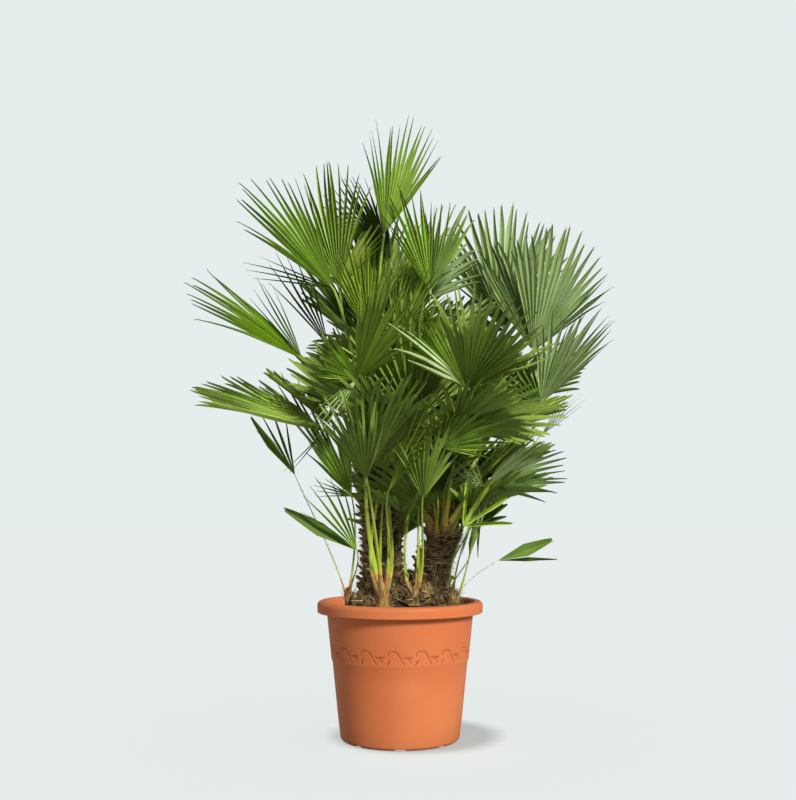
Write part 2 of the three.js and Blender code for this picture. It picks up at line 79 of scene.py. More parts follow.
class Tone(Enum):
    """Leaf colours, dealt out frond by frond, some with painted light and some with painted shade. Each value
    is its place among a blade piece's materials.
    """

    MID = 0
    # Leaf green lightened as painted light, for fronds that are sunlit or lit through from behind.
    BRIGHT = 1
    # Leaf green darkened as painted shade, for fronds deep in or under the crown.
    DARK = 2
    GREY = 3
    YOUNG = 4
    UNDER = 5
    TIP = 6
    # A silvery underside green, made paler still as painted light, for folds that face the viewer.
    PALE = 7


class Skin(Enum):
    """Stalk colours along a stalk. Each value is its place among a stalk piece's materials."""

    SHEATH = 0
    AMBER = 1
    LIME = 2
    GREEN = 3
    SPINE = 4


def mix(a: float, b: float, t: float) -> float:
    """Returns the value a share t of the way from a to b."""
    return a + (b - a) * t


def outward(turn: float) -> Vector:
    """Returns the level unit vector at a turn from +X towards +Y."""
    return Vector((cos(turn), sin(turn), 0.0))


def direction(bearing: float, rise: float) -> Vector:
    """Returns the unit vector for a bearing from +X towards +Y and a rise above level, in degrees."""
    turn, up = radians(bearing), radians(rise)
    return Vector((cos(up) * cos(turn), cos(up) * sin(turn), sin(up)))


class Nodes:
    """Short ways to add and join the nodes of one node tree."""

    def __init__(self, tree: NodeTree) -> None:
        """Keeps the tree to work in."""
        self.tree = tree

    def add(self, kind: str, inputs: dict | None = None, **settings: object) -> Node:
        """Adds a node.

        Args:
            kind: the node's type name, which for shader nodes leaves out their usual start.
            inputs: values or sockets for its inputs, by name or place.
            settings: its own settings.

        Returns:
            The new node.
        """
        node = self.tree.nodes.new(kind if kind.startswith("NodeGroup") else f"ShaderNode{kind}")
        for name, value in settings.items():
            setattr(node, name, value)
        for name, value in (inputs or {}).items():
            self.feed(node.inputs[name], value)
        return node

    def feed(self, target: NodeSocket, value: object) -> None:
        """Joins a socket to an input, or sets the input's own value.

        Args:
            target: the input.
            value: the socket to join to it, or the value that it gets.
        """
        if isinstance(value, NodeSocket):
            self.tree.links.new(value, target)
        else:
            target.default_value = value

    def maths(self, operation: str, a: object, b: object = 0.0) -> NodeSocket:
        """Returns the result of a Math node on two values."""
        return self.add("Math", {0: a, 1: b}, operation=operation).outputs[0]

    def blend(self, factor: object, a: object, b: object, how: str = "MIX") -> NodeSocket:
        """Blends two colours.

        Args:
            factor: how much of the second shows.
            a: the first colour.
            b: the second colour.
            how: the way to blend them.

        Returns:
            The blended colour.
        """
        node = self.add("Mix", data_type="RGBA", blend_type=how)
        for place, value in ((0, factor), (6, a), (7, b)):
            self.feed(node.inputs[place], (*value, 1.0) if isinstance(value, tuple) else value)
        return node.outputs[2]

    def spread(
        self, value: object, low: float, high: float, start: float = 0.0, end: float = 1.0
    ) -> NodeSocket:
        """Returns a value stretched from one range to another and held inside it."""
        inputs = {"Value": value, "From Min": low, "From Max": high, "To Min": start, "To Max": end}
        return self.add("MapRange", inputs).outputs[0]

    def noise(self, place: NodeSocket, scale: object, detail: float, **more: float) -> NodeSocket:
        """Returns a noise pattern at a place, with more inputs of the noise node by name."""
        inputs = {"Vector": place, "Scale": scale, "Detail": detail, **more}
        return self.add("TexNoise", inputs).outputs["Fac"]


def new_group(name: str, inputs: dict[str, object]) -> tuple[Nodes, list[NodeSocket]]:
    """Starts a shader node group that gives a value and a height.

    Args:
        name: the group's name.
        inputs: each input's name and default, a number or a vector.

    Returns:
        A helper for its nodes, and the sockets that hold its inputs.
    """
    group = bpy.data.node_groups.new(name, "ShaderNodeTree")
    for label, default in inputs.items():
        kind = "NodeSocketFloat" if isinstance(default, float) else "NodeSocketVector"
        group.interface.new_socket(label, in_out="INPUT", socket_type=kind).default_value = default
    for label in ("Value", "Height"):
        group.interface.new_socket(label, in_out="OUTPUT", socket_type="NodeSocketFloat")
    nodes = Nodes(group)
    return nodes, list(nodes.add("NodeGroupInput").outputs)


@cache
def mottle_group() -> NodeTree:
    """Returns the shared mottling: slow clouds and fine specks as one value, with a height for bumps."""
    sockets = {"Vector": (0.0, 0.0, 0.0), "Cloud Scale": 8.0, "Speck Scale": 300.0, "Speck Share": 0.3}
    nodes, (place, cloud, speck, share, _) = new_group("mottle", sockets)
    clouds = nodes.noise(place, cloud, 3.0)
    specks = nodes.noise(place, speck, 2.0)
    value = nodes.add("Mix", {0: share, 2: clouds, 3: specks}).outputs[0]
    nodes.add("NodeGroupOutput", {0: value, 1: specks})
    return nodes.tree


@cache
def fibre_group() -> NodeTree:
    """Returns the shared fibre grain: noise drawn out along Z, as a value and a height."""
    sockets = {"Vector": (0.0, 0.0, 0.0), "Scale": 400.0, "Stretch": 0.1}
    nodes, (given, scale, stretch, _) = new_group("fibre_grain", sockets)
    drawn = nodes.add("CombineXYZ", {0: 1.0, 1: 1.0, 2: stretch}).outputs[0]
    place = nodes.add("VectorMath", {0: given, 1: drawn}, operation="MULTIPLY").outputs[0]
    fine = nodes.noise(place, scale, 5.0, Distortion=0.6)
    coarse = nodes.noise(given, 45.0, 3.0)
    value = nodes.add("Mix", {0: 0.4, 2: fine, 3: coarse}).outputs[0]
    nodes.add("NodeGroupOutput", {0: value, 1: fine})
    return nodes.tree


class Surface(Nodes):
    """The nodes of a new material, with its shader's inputs and the place on the object."""

    def __init__(self, name: str, roughness: float, shine: float) -> None:
        """Starts the material.

        Args:
            name: the material's name.
            roughness: its plain roughness, which a link may replace.
            shine: its specular level, where 0.5 is usual.
        """
        self.material = bpy.data.materials.new(name)
        self.material.use_nodes = True
        super().__init__(self.material.node_tree)
        self.shader = self.tree.nodes["Principled BSDF"].inputs
        self.shader["Roughness"].default_value = roughness
        self.shader["Specular IOR Level"].default_value = shine
        self.place = self.add("TexCoord").outputs["Object"]

    def pattern(self, group: NodeTree, scales: dict[str, float]) -> Iterable[NodeSocket]:
        """Returns the value and the height of a shared pattern with its own scales."""
        return self.add("Group", {"Vector": self.place, **scales}, node_tree=group).outputs

    def finish(self, colour: NodeSocket, height: NodeSocket, strength: float, depth: float) -> Material:
        """Gives the material its colour and its bumps.

        Args:
            colour: the colour.
            height: the pattern of the bumps.
            strength: the bumps' strength.
            depth: their full depth in metres.

        Returns:
            The finished material.
        """
        self.feed(self.shader["Base Color"], colour)
        bump = self.add("Bump", {"Strength": strength, "Distance": depth, "Height": height})
        self.feed(self.shader["Normal"], bump.outputs["Normal"])
        return self.material


@dataclass(frozen=True)
class PotPlastic:
    """Satin moulded plastic in terracotta orange, dustier towards the foot, with painted shade in the
    garland's engraved strokes.
    """

    colour: Colour = (0.57, 0.145, 0.047)
    pale: Colour = (0.62, 0.19, 0.068)
    dust: Colour = (0.48, 0.16, 0.07)
    # The deep red of the painted shade in the garland's strokes.
    groove_shade: Colour = (0.3, 0.05, 0.02)

    def build(self) -> Material:
        """Returns the pot's material."""
        skin = Surface("pot_terracotta", 0.5, 0.16)
        value, height = skin.pattern(mottle_group(), {"Cloud Scale": 5.0, "Speck Scale": 900.0})
        clouded = skin.blend(skin.spread(value, 0.35, 0.65), self.colour, self.pale)
        low = skin.spread(skin.add("SeparateXYZ", {0: skin.place}).outputs[2], 0.07, 0.0, 0.0, 0.55)
        dusty = skin.maths("MULTIPLY", low, skin.noise(skin.place, 30.0, 4.0, Roughness=0.55))
        worn = skin.blend(dusty, clouded, self.dust)
        # Painted shade: the garland's engraved strokes are darkened towards deep red as if shaded.
        groove_shade = skin.maths("MULTIPLY", skin.add("Attribute", attribute_name=GROOVE_SHADE).outputs["Fac"], 0.75)
        colour = skin.blend(groove_shade, worn, self.groove_shade)
        skin.feed(skin.shader["Roughness"], skin.spread(value, 0.3, 0.7, 0.4, 0.55))
        return skin.finish(colour, height, 0.12, 0.0003)


@dataclass(frozen=True)
class Crumb:
    """Dark crumbly compost, or the bark scraps in it."""

    name: str
    dark: Colour
    light: Colour

    def build(self) -> Material:
        """Returns the crumbs' material."""
        skin = Surface(self.name, 0.95, 0.2)
        scales = {"Cloud Scale": 60.0, "Speck Scale": 500.0, "Speck Share": 0.5}
        value, height = skin.pattern(mottle_group(), scales)
        colour = skin.blend(skin.spread(value, 0.38, 0.68), self.dark, self.light)
        return skin.finish(colour, height, 0.8, 0.002)


@dataclass(frozen=True)
class Fibrous:
    """Fibrous bark, stub, hair or sheath: two browns drawn out along the stem."""

    name: str
    dark: Colour
    light: Colour
    scale: float = 300.0
    roughness: float = 0.85

    def build(self) -> Material:
        """Returns the fibre's material."""
        skin = Surface(self.name, self.roughness, 0.3)
        value, height = skin.pattern(fibre_group(), {"Scale": self.scale})
        colour = skin.blend(skin.spread(value, 0.36, 0.66), self.dark, self.light)
        return skin.finish(colour, height, 0.7, 0.0015)


@dataclass(frozen=True)
class LeafBlade:
    """A leaflet's face: parallel veins, a paler rib and a thin pale edge over one of the leaf colours; their
    paler colour is partly real and partly painted highlight.
    """

    name: str
    colour: Colour
    # The lines' paler colour, partly the leaf's real veining and partly painted highlight.
    vein_and_highlight: Colour
    veins: float = 9.0

    def build(self) -> Material:
        """Returns the leaf's material, which reads the leaflet's own map: across it, then along it."""
        skin = Surface(self.name, 0.5, 0.14)
        across = skin.add("SeparateXYZ", {0: skin.add("TexCoord").outputs["UV"]}).outputs[0]
        value, _ = skin.pattern(mottle_group(), {"Cloud Scale": 22.0})
        from_rib = skin.maths("ABSOLUTE", skin.maths("SUBTRACT", across, 0.5))
        rib = skin.spread(from_rib, 0.075, 0.0, 0.0, 0.75)
        edge = skin.spread(from_rib, 0.47, 0.5, 0.0, 0.3)
        wave = skin.maths("SINE", skin.maths("MULTIPLY", across, self.veins * tau))
        stripe = skin.spread(wave, 0.2, 1.0, 0.0, 0.16)
        line = skin.maths("MAXIMUM", skin.maths("MAXIMUM", rib, edge), stripe)
        tone = skin.add("Attribute", attribute_name="tone").outputs["Fac"]
        shade = skin.maths("MULTIPLY", skin.spread(value, 0.3, 0.7, 0.86, 1.14), tone)
        grey = skin.add("CombineColor", {0: shade, 1: shade, 2: shade}).outputs[0]
        tinted = skin.blend(1.0, self.colour, grey, "MULTIPLY")
        # Rib, edge and veins take the paler colour: real lines, lightened further as painted highlight.
        colour = skin.blend(line, tinted, self.vein_and_highlight)
        skin.feed(skin.shader["Roughness"], skin.spread(value, 0.3, 0.7, 0.44, 0.6))
        return skin.finish(colour, wave, 0.25, 0.0003)


@dataclass(frozen=True)
class StalkSkin:
    """A stalk's smooth ribbed skin in one of the stalk colours."""

    name: str
    colour: Colour
    streak: Colour
    roughness: float = 0.4

    def build(self) -> Material:
        """Returns the stalk's material."""
        skin = Surface(self.name, self.roughness, 0.45)
        value, height = skin.pattern(fibre_group(), {"Scale": 260.0, "Stretch": 0.05})
        share = skin.spread(value, 0.42, 0.62, 0.0, 0.7)
        return skin.finish(skin.blend(share, self.colour, self.streak), height, 0.2, 0.0005)


class Palette:
    """Every finish of the plant, built once and handed to the pieces."""

    def __init__(self) -> None:
        """Builds the materials from their finishes."""
        self.pot = PotPlastic().build()
        self.soil = Crumb("compost_dark", (0.012, 0.008, 0.005), (0.07, 0.045, 0.028)).build()
        self.scrap = Crumb("bark_scrap", (0.06, 0.035, 0.02), (0.22, 0.14, 0.08)).build()
        fibres = [Fibrous(*look).build() for look in (
            ("bark_shadow", (0.015, 0.01, 0.005), (0.08, 0.05, 0.022)),
            ("leaf_base_stub", (0.055, 0.035, 0.014), (0.46, 0.33, 0.13), 220.0),
            ("dark_leaf_base_stub", (0.035, 0.021, 0.007), (0.3, 0.2, 0.066), 220.0),
            # The leaf-base stub's browns at about a third of their brightness, for most stubs of the heap.
            ("darkest_leaf_base_stub", (0.02, 0.012, 0.0035), (0.16, 0.1, 0.032), 220.0),
            ("red_fibre", (0.16, 0.055, 0.024), (0.42, 0.17, 0.08), 260.0),
            ("straw_fibre", (0.4, 0.3, 0.16), (0.72, 0.6, 0.38), 350.0),
            ("umber_fibre", (0.12, 0.07, 0.026), (0.36, 0.235, 0.09), 350.0),
            ("dry_sheath", (0.21, 0.1, 0.024), (0.5, 0.3, 0.09), 160.0, 0.7),
        )]
        self.bark, self.stub, self.dark_stub, self.darkest_stub = fibres[:4]
        self.red, self.straw, self.umber, self.sheath = fibres[4:]
        # Each leaf's second colour is its lines' colour, partly painted highlight.
        self.leaves = [LeafBlade(f"leaf_{name}", *colours).build() for name, *colours in (
            ("mid", (0.22, 0.34, 0.036), (0.41, 0.52, 0.19)),
            # Painted light: a lighter copy of the leaf green.
            ("bright", (0.29, 0.415, 0.045), (0.45, 0.56, 0.16)),
            # Painted shade: a darker copy of the leaf green.
            ("dark", (0.09, 0.155, 0.022), (0.18, 0.27, 0.06)),
            ("grey", (0.23, 0.315, 0.115), (0.36, 0.44, 0.21)),
            ("young", (0.28, 0.38, 0.05), (0.42, 0.53, 0.14)),
            ("underside", (0.19, 0.28, 0.04), (0.33, 0.43, 0.12)),
            ("dry_tip", (0.2, 0.19, 0.09), (0.34, 0.29, 0.14)),
            # A silvery underside colour, raised further as painted light.
            ("pale", (0.52, 0.64, 0.3), (0.66, 0.76, 0.46)),
        )]
        self.stalks = [StalkSkin(f"stalk_{name}", *look).build() for name, *look in (
            ("sheath", (0.33, 0.175, 0.042), (0.52, 0.33, 0.095), 0.6),
            ("amber", (0.5, 0.42, 0.05), (0.62, 0.48, 0.1)),
            ("lime", (0.34, 0.43, 0.03), (0.44, 0.52, 0.08)),
            ("green", (0.18, 0.29, 0.03), (0.28, 0.4, 0.07)),
            ("spine", (0.1, 0.06, 0.02), (0.2, 0.12, 0.04)),
        )]


class Bench:
    """Blender's modelling operators, with the selection always set first."""

    @staticmethod
    def clear() -> None:
        """Deselects every object."""
        bpy.ops.object.select_all(action="DESELECT")

    @staticmethod
    def only(piece: Object) -> None:
        """Selects one object and makes it active.

        Args:
            piece: the object.
        """
        Bench.clear()
        piece.select_set(True)
        bpy.context.view_layer.objects.active = piece

    @staticmethod
    def settle(piece: Object) -> None:
        """Moves an object's place, turn and scale into its mesh."""
        Bench.only(piece)
        bpy.ops.object.transform_apply(location=True, rotation=True, scale=True)

    @staticmethod
    def take() -> Shape:
        """Returns the active object's points and faces, and removes the object."""
        piece = bpy.context.active_object
        points = [vertex.co.copy() for vertex in piece.data.vertices]
        faces = [tuple(face.vertices) for face in piece.data.polygons]
        bpy.data.objects.remove(piece)
        return points, faces

    @staticmethod
    def draw_out(name: str, sides: int, rings: list[Ring]) -> Object:
        """Extrudes a filled disc ring by ring into a closed body.

        Args:
            name: the new object's name.
            sides: the number of corners of a ring.
            rings: the middle and radius of each ring, the disc's first.

        Returns:
            The new object.
        """
        middle, radius = rings[0]
        Bench.clear()
        bpy.ops.mesh.primitive_circle_add(vertices=sides, radius=radius, fill_type="NGON", location=middle)
        piece = bpy.context.active_object
        piece.name = name
        Bench.settle(piece)
        bpy.ops.object.mode_set(mode="EDIT")
        bpy.ops.mesh.select_all(action="SELECT")
        for next_middle, next_radius in rings[1:]:
            bpy.ops.mesh.extrude_region_move(TRANSFORM_OT_translate={"value": next_middle - middle})
            grow = next_radius / radius
            bpy.ops.transform.resize(value=(grow, grow, 1.0), center_override=next_middle)
            middle, radius = next_middle, next_radius
        bpy.ops.mesh.select_all(action="SELECT")
        bpy.ops.mesh.normals_make_consistent(inside=False)
        bpy.ops.object.mode_set(mode="OBJECT")
        return piece

    @staticmethod
    def subdivide_where(piece: Object, test: Callable[[Vector, Vector], bool], cuts: int) -> None:
        """Subdivides the faces that pass a test on their middle and normal.

        Args:
            piece: the object.
            test: says whether a face is cut.
            cuts: the number of cuts.
        """
        Bench.only(piece)
        bpy.ops.object.mode_set(mode="EDIT")
        bpy.ops.mesh.select_all(action="DESELECT")
        mesh = bmesh.from_edit_mesh(piece.data)
        for face in mesh.faces:
            if test(face.calc_center_median(), face.normal):
                face.select_set(True)
        bmesh.update_edit_mesh(piece.data)
        bpy.ops.mesh.subdivide(number_cuts=cuts)
        bpy.ops.object.mode_set(mode="OBJECT")

    @staticmethod
    def smooth(piece: Object, degrees: float) -> None:
        """Shades an object smooth, but for edges sharper than an angle."""
        Bench.only(piece)
        bpy.ops.object.shade_smooth_by_angle(angle=radians(degrees))


def dress(piece: Object, materials: list[Material], nodes: Iterable[str] = ()) -> Object:
    """Gives a finished piece its materials and body, hides the solids that it replaces, and logs its
    triangles.

    Args:
        piece: the finished object.
        materials: its materials in order.
        nodes: the solids that it replaces.

    Returns:
        The same object.
    """
    for material in materials:
        piece.data.materials.append(material)
    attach(piece, "root")
    if nodes:
        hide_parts(*nodes)
    piece.data.calc_loop_triangles()
    LOG.info("%s: %d triangles", piece.name, len(piece.data.loop_triangles))
    return piece


@dataclass
class Sheaf:
    """A joined mesh of many small things, gathered as arrays."""

    points: list[Vector] = field(default_factory=list)
    faces: list[tuple[int, ...]] = field(default_factory=list)
    places: list[int] = field(default_factory=list)
    maps: list[tuple[float, float]] = field(default_factory=list)
    tones: list[float] = field(default_factory=list)

    def put(self, points: Iterable[Vector], tone: float = 1.0) -> int:
        """Adds points that share a tone.

        Args:
            points: the points.
            tone: their tone.

        Returns:
            The place of the first.
        """
        first = len(self.points)
        self.points.extend(points)
        self.tones.extend([tone] * (len(self.points) - first))
        return first

    def face(
        self, corners: Iterable[int], place: int, across: Sequence[float] = (), along: Sequence[float] = ()
    ) -> None:
        """Adds a face.

        Args:
            corners: its points in order.
            place: its material's place.
            across: each corner's place across the leaflet.
            along: each corner's place along the leaflet.
        """
        self.faces.append(tuple(corners))
        self.places.append(place)
        self.maps.extend(zip(across, along) if across else [(0.0, 0.0)] * len(self.faces[-1]))

    def tube(self, rings: list[list[Vector]], places: list[int], tone: float = 1.0) -> None:
        """Adds a closed tube through rings of points.

        Args:
            rings: rings of the same length, counter-clockwise seen from the far end.
            places: the material place of each stretch between two rings.
            tone: the tube's tone.
        """
        count = len(rings[0])
        first = self.put((point for ring in rings for point in ring), tone)
        for r in range(len(rings) - 1):
            low = first + r * count
            for i in range(count):
                j = (i + 1) % count
                self.face((low + i, low + j, low + count + j, low + count + i), places[r])
        last = first + (len(rings) - 1) * count
        self.face((first + i for i in reversed(range(count))), places[0])
        self.face((last + i for i in range(count)), places[-1])

    def stamp(self, shape: Shape, turn: Matrix, place: int, tone: float = 1.0) -> None:
        """Adds a copy of a modelled shape.

        Args:
            shape: the shape's points and faces.
            turn: the copy's place, turn and size.
            place: its material's place.
            tone: its tone.
        """
        points, faces = shape
        first = self.put((turn @ point for point in points), tone)
        for corners in faces:
            self.face((first + i for i in corners), place)

    def strand(self, at: Vector, way: Vector, curl: Vector, length: float, thick: float, place: int) -> None:
        """Adds one tapering three-sided fibre along a slight curve.

        Args:
            at: where it starts.
            way: its first direction.
            curl: how its direction turns by its end.
            length: its length.
            thick: its radius at the start.
            place: its material's place.
        """
        steps, taper = 4, 0.8
        side = way.cross(Vector((0.3, 0.2, 0.93))).normalized()
        top = way.cross(side)
        rings = []
        for k in range(steps + 1):
            t = k / steps
            middle = at + way * (length * t) + curl * (length * t * t)
            size = thick * (1.0 - taper * t)
            turns = [tau * i / 3 for i in range(3)]
            rings.append([middle + side * (size * cos(turn)) + top * (size * sin(turn)) for turn in turns])
        self.tube(rings, [place] * steps)

    def tongue(self, at: Vector, out: Vector, length: float, width: float, rough: Random) -> None:
        """Adds a thin pointed scrap of dry sheath that stands up and leans out.

        Args:
            at: the middle of its foot.
            out: the level way it leans.
            length: its length.
            width: half its width at the foot.
            rough: the seeded numbers.
        """
        side = Vector((-out.y, out.x, 0.0))
        lean = rough.uniform(0.05, 0.45)
        sway = rough.uniform(-0.2, 0.2)
        steps, blunt, depth = 4, 0.0003, 0.0009
        rings = []
        for k in range(steps + 1):
            t = k / steps
            middle = at + UP * (length * t) + out * (length * lean * t * t) + side * (length * sway * t)
            half = side * (width * (1.0 - t) ** 0.7 + blunt)
            thick = out * (depth * (1.0 - 0.6 * t))
            rings.append([middle - half, middle + thick, middle + half, middle - thick])
        self.tube(rings, [0] * steps)

    def build(self, name: str) -> Object:
        """Makes an object of what was gathered.

        Args:
            name: its name.

        Returns:
            The new object.
        """
        mesh = bpy.data.meshes.new(name)
        mesh.from_pydata(self.points, [], self.faces)
        mesh.polygons.foreach_set("material_index", self.places)
        layer = mesh.uv_layers.new(name="leaflet")
        layer.data.foreach_set("uv", [value for pair in self.maps for value in pair])
        mesh.attributes.new("tone", "FLOAT", "POINT").data.foreach_set("value", self.tones)
        mesh.update()
        piece = bpy.data.objects.new(name, mesh)
        bpy.context.scene.collection.objects.link(piece)
        return piece


@dataclass
class Pot:
    """The round plastic pot with its rolled rim, garland band and drain channels."""

    height: float = 0.366
    rim_radius: float = 0.225
    rim_depth: float = 0.031
    rim_inner: float = 0.2
    rim_round: float = 0.011
    inner_round: float = 0.006
    shoulder_radius: float = 0.199
    band_step: float = 0.0025
    band_bottom: float = 0.212
    band_top: float = 0.266
    band_edge: float = 0.007
    foot_radius: float = 0.163
    corner_radius: float = 0.011
    wall: float = 0.0045
    floor: float = 0.009
    sides: int = 192
    drains: int = 8
    drain_width: float = 0.027
    drain_depth: float = 0.005
    drain_inner: float = 0.062
    repeats: int = 16
    garland_lift: float = 0.006
    garland_height: float = 0.7
    relief: float = -0.0013
    stroke: float = 0.0018

    def radius_at(self, z: float) -> float:
        """Measures the outer wall at a height.

        Args:
            z: the height.

        Returns:
            The wall's radius there.
        """
        slope = (self.shoulder_radius - self.foot_radius) / (self.height - self.rim_depth)
        step = 0.0 if z < self.band_bottom else self.band_step
        return self.foot_radius + slope * z + step - self.band_step

    def profile(self) -> list[tuple[float, float]]:
        """Returns the pot's section as radius and height, from the foot over the rim to the inner floor."""

        def arc(
            x: float, z: float, size: float, ends: tuple[int, int], steps: int
        ) -> list[tuple[float, float]]:
            """Returns points along a rounded corner, whose middle is at x and z."""
            angles = (radians(mix(*ends, k / steps)) for k in range(steps + 1))
            return [(x + size * cos(t), z + size * sin(t)) for t in angles]

        top, under = self.height, self.height - self.rim_depth
        bottom, rim = self.band_bottom, self.rim_radius
        corner, outer, inner = self.corner_radius, self.rim_round, self.inner_round
        bands = [bottom + 0.001 + k * (self.band_top - bottom) / 4 for k in range(5)]
        return [
            *arc(self.radius_at(0.0) - corner, corner, corner, (-88, -6), 6),
            *[(self.radius_at(z), z) for z in (0.06, 0.11, 0.16, bottom - self.band_edge, *bands, 0.3)],
            (self.radius_at(under) - 0.0005, under - 0.003),
            (self.radius_at(under), under),
            (rim - self.wall - 0.001, under + 0.0008),
            (rim - 0.002, under + 0.0008),
            (rim - 0.0006, under + 0.002),
            *arc(rim - outer, top - outer, outer, (0, 88), 8),
            *arc(self.rim_inner + inner, top - inner, inner, (92, 178), 5),
            (self.radius_at(top - 3 * self.wall) - self.wall, top - 3 * self.wall),
            (self.radius_at(self.floor) - self.wall, self.floor),
        ]

    def garland_lines(self) -> list[Stroke]:
        """Returns one repeat's strokes: points across the repeat and up the band, each with its width.

        A curled leaf stem arches over and runs down to the right, with a side leaf and a small bud.
        """
        arch = []
        for k in range(9):
            turn = radians(mix(200, 20, k / 8))
            arch.append((-0.26 + 0.17 * cos(turn), 0.72 + 0.2 * sin(turn), 0.7 + 0.3 * k / 8))
        stem, leaf, foot, bud = [], [], [], []
        for t in (0.1, 0.4, 0.7, 1.0):
            stem.append((mix(-0.1, 0.14, t), mix(0.78, 0.02, t) + 0.05 * sin(t * pi), 1.1 - 0.5 * t))
        for t in (0, 0.3, 0.6, 1):
            leaf.append((mix(0.1, 0.44, t), 0.52 - 0.05 * sin(t * pi), 0.6 + 0.9 * sin(t * pi)))
        for t in (0, 0.5, 1):
            foot.append((mix(0.27, 0.38, t), mix(0.5, 0.14, t), 1.0 - 0.4 * t))
            bud.append((mix(-0.46, -0.36, t), mix(-0.02, 0.36, t), 0.5 + 0.8 * sin(t * pi)))
        return [arch, stem, leaf, foot, bud]

    def garland(self, turn: float, z: float, lines: list[Stroke]) -> float:
        """Works out the garland's relief at a place on the wall.

        Args:
            turn: the angle round the pot.
            z: the height.
            lines: the strokes of one repeat.

        Returns:
            How deep in a stroke the place is, from 0 to 1.
        """
        pitch = tau / self.repeats
        span = self.band_top - self.band_bottom
        radius = self.radius_at(z)
        x = ((turn / pitch + 0.5) % 1.0 - 0.5) * pitch * radius
        y = z - self.band_bottom - self.garland_lift
        best = 0.0
        for line in lines:
            tall = span * self.garland_height
            spots = [(u * pitch * radius, v * tall, w * self.stroke) for u, v, w in line]
            for (ax, ay, aw), (bx, by, bw) in zip(spots, spots[1:]):
                along = (bx - ax) ** 2 + (by - ay) ** 2
                t = max(0.0, min(1.0, ((x - ax) * (bx - ax) + (y - ay) * (by - ay)) / along))
                away = hypot(x - mix(ax, bx, t), y - mix(ay, by, t)) / mix(aw, bw, t)
                best = max(best, 1.0 - away * away * 0.5 if away < 1.4 else 0.0)
        return best

    def build(self, palette: Palette) -> list[Object]:
        """Turns the pot, cuts its drain channels and presses in its garland.

        Args:
            palette: the finishes.

        Returns:
            The finished pieces.
        """
        pot = Bench.draw_out("pot_body", self.sides, [(UP * z, r) for r, z in self.profile()])
        self.cut_drains(pot)
        low, high = self.band_bottom + 0.002, self.band_top
        wall = self.radius_at(low) - 0.003

        def in_band(middle: Vector, normal: Vector) -> bool:
            """Says whether a face lies on the outer wall in the garland band."""
            out = normal.x * middle.x + normal.y * middle.y > 0.0
            return low < middle.z < high and out and middle.to_2d().length > wall

        Bench.subdivide_where(pot, in_band, 5)
        lines = self.garland_lines()
        # How deep each point lies in a garland stroke, which the pot's material turns into painted shade.
        depth = pot.data.attributes.new(GROOVE_SHADE, "FLOAT", "POINT").data
        for vertex in pot.data.vertices:
            place = vertex.co
            flat = place.to_2d()
            if low < place.z < high and flat.length > wall:
                deep = self.garland(atan2(place.x, -place.y), place.z, lines)
                place.xy = flat * (1.0 + self.relief * deep / flat.length)
                depth[vertex.index].value = deep
        Bench.smooth(pot, 38.0)
        return [dress(pot, [palette.pot], ["pot"])]

    def cut_drains(self, pot: Object) -> None:
        """Cuts the channels across the turned pot's underside with a boolean.

        Args:
            pot: the turned pot.
        """
        length = self.foot_radius - self.drain_inner + 0.01
        cutters = []
        for k in range(self.drains):
            turn = -pi / 2 + k * tau / self.drains
            Bench.clear()
            middle = self.drain_inner + length / 2
            place = (middle * cos(turn), middle * sin(turn), 0.0)
            bpy.ops.mesh.primitive_cube_add(size=1.0, location=place, rotation=(0.0, 0.0, turn))
            cutters.append(bpy.context.active_object)
            cutters[-1].scale = (length, self.drain_width, 2 * self.drain_depth)
        tool = cutters[0]
        Bench.only(tool)
        for cutter in cutters:
            cutter.select_set(True)
        bpy.ops.object.join()
        Bench.settle(tool)
        cut = pot.modifiers.new("drains", "BOOLEAN")
        cut.operation = "DIFFERENCE"
        cut.object = tool
        Bench.only(pot)
        bpy.ops.object.modifier_apply(modifier=cut.name)
        bpy.data.objects.remove(tool)


def stub_shapes(rough: Random) -> list[Shape]:
    """Models the broken leaf-base stubs: a flat wedge that bends out, with a ragged torn end.

    Args:
        rough: the seeded numbers.

    Returns:
        A few different stubs, each about one unit wide and high.
    """
    shapes = []
    for _ in range(5):
        Bench.clear()
        bpy.ops.mesh.primitive_cube_add(size=1.0)
        block = bpy.context.active_object
        Bench.subdivide_where(block, lambda middle, normal: True, 2)
        bend = rough.uniform(0.25, 0.6)
        for vertex in block.data.vertices:
            x, y, z = vertex.co
            up = z + 0.5
            narrow = 1.0 - 0.45 * up * up
            thick = 0.34 - 0.2 * up
            ragged = rough.uniform(-0.16, 0.2) if up > 0.9 else rough.uniform(-0.03, 0.03)
            lean = bend * up * up - 0.25 * (2 * x) ** 2 * (0.4 + up)
            vertex.co = Vector((x * narrow + rough.uniform(-0.03, 0.03), y * thick - lean, up + ragged))
        shapes.append(Bench.take())
    return shapes


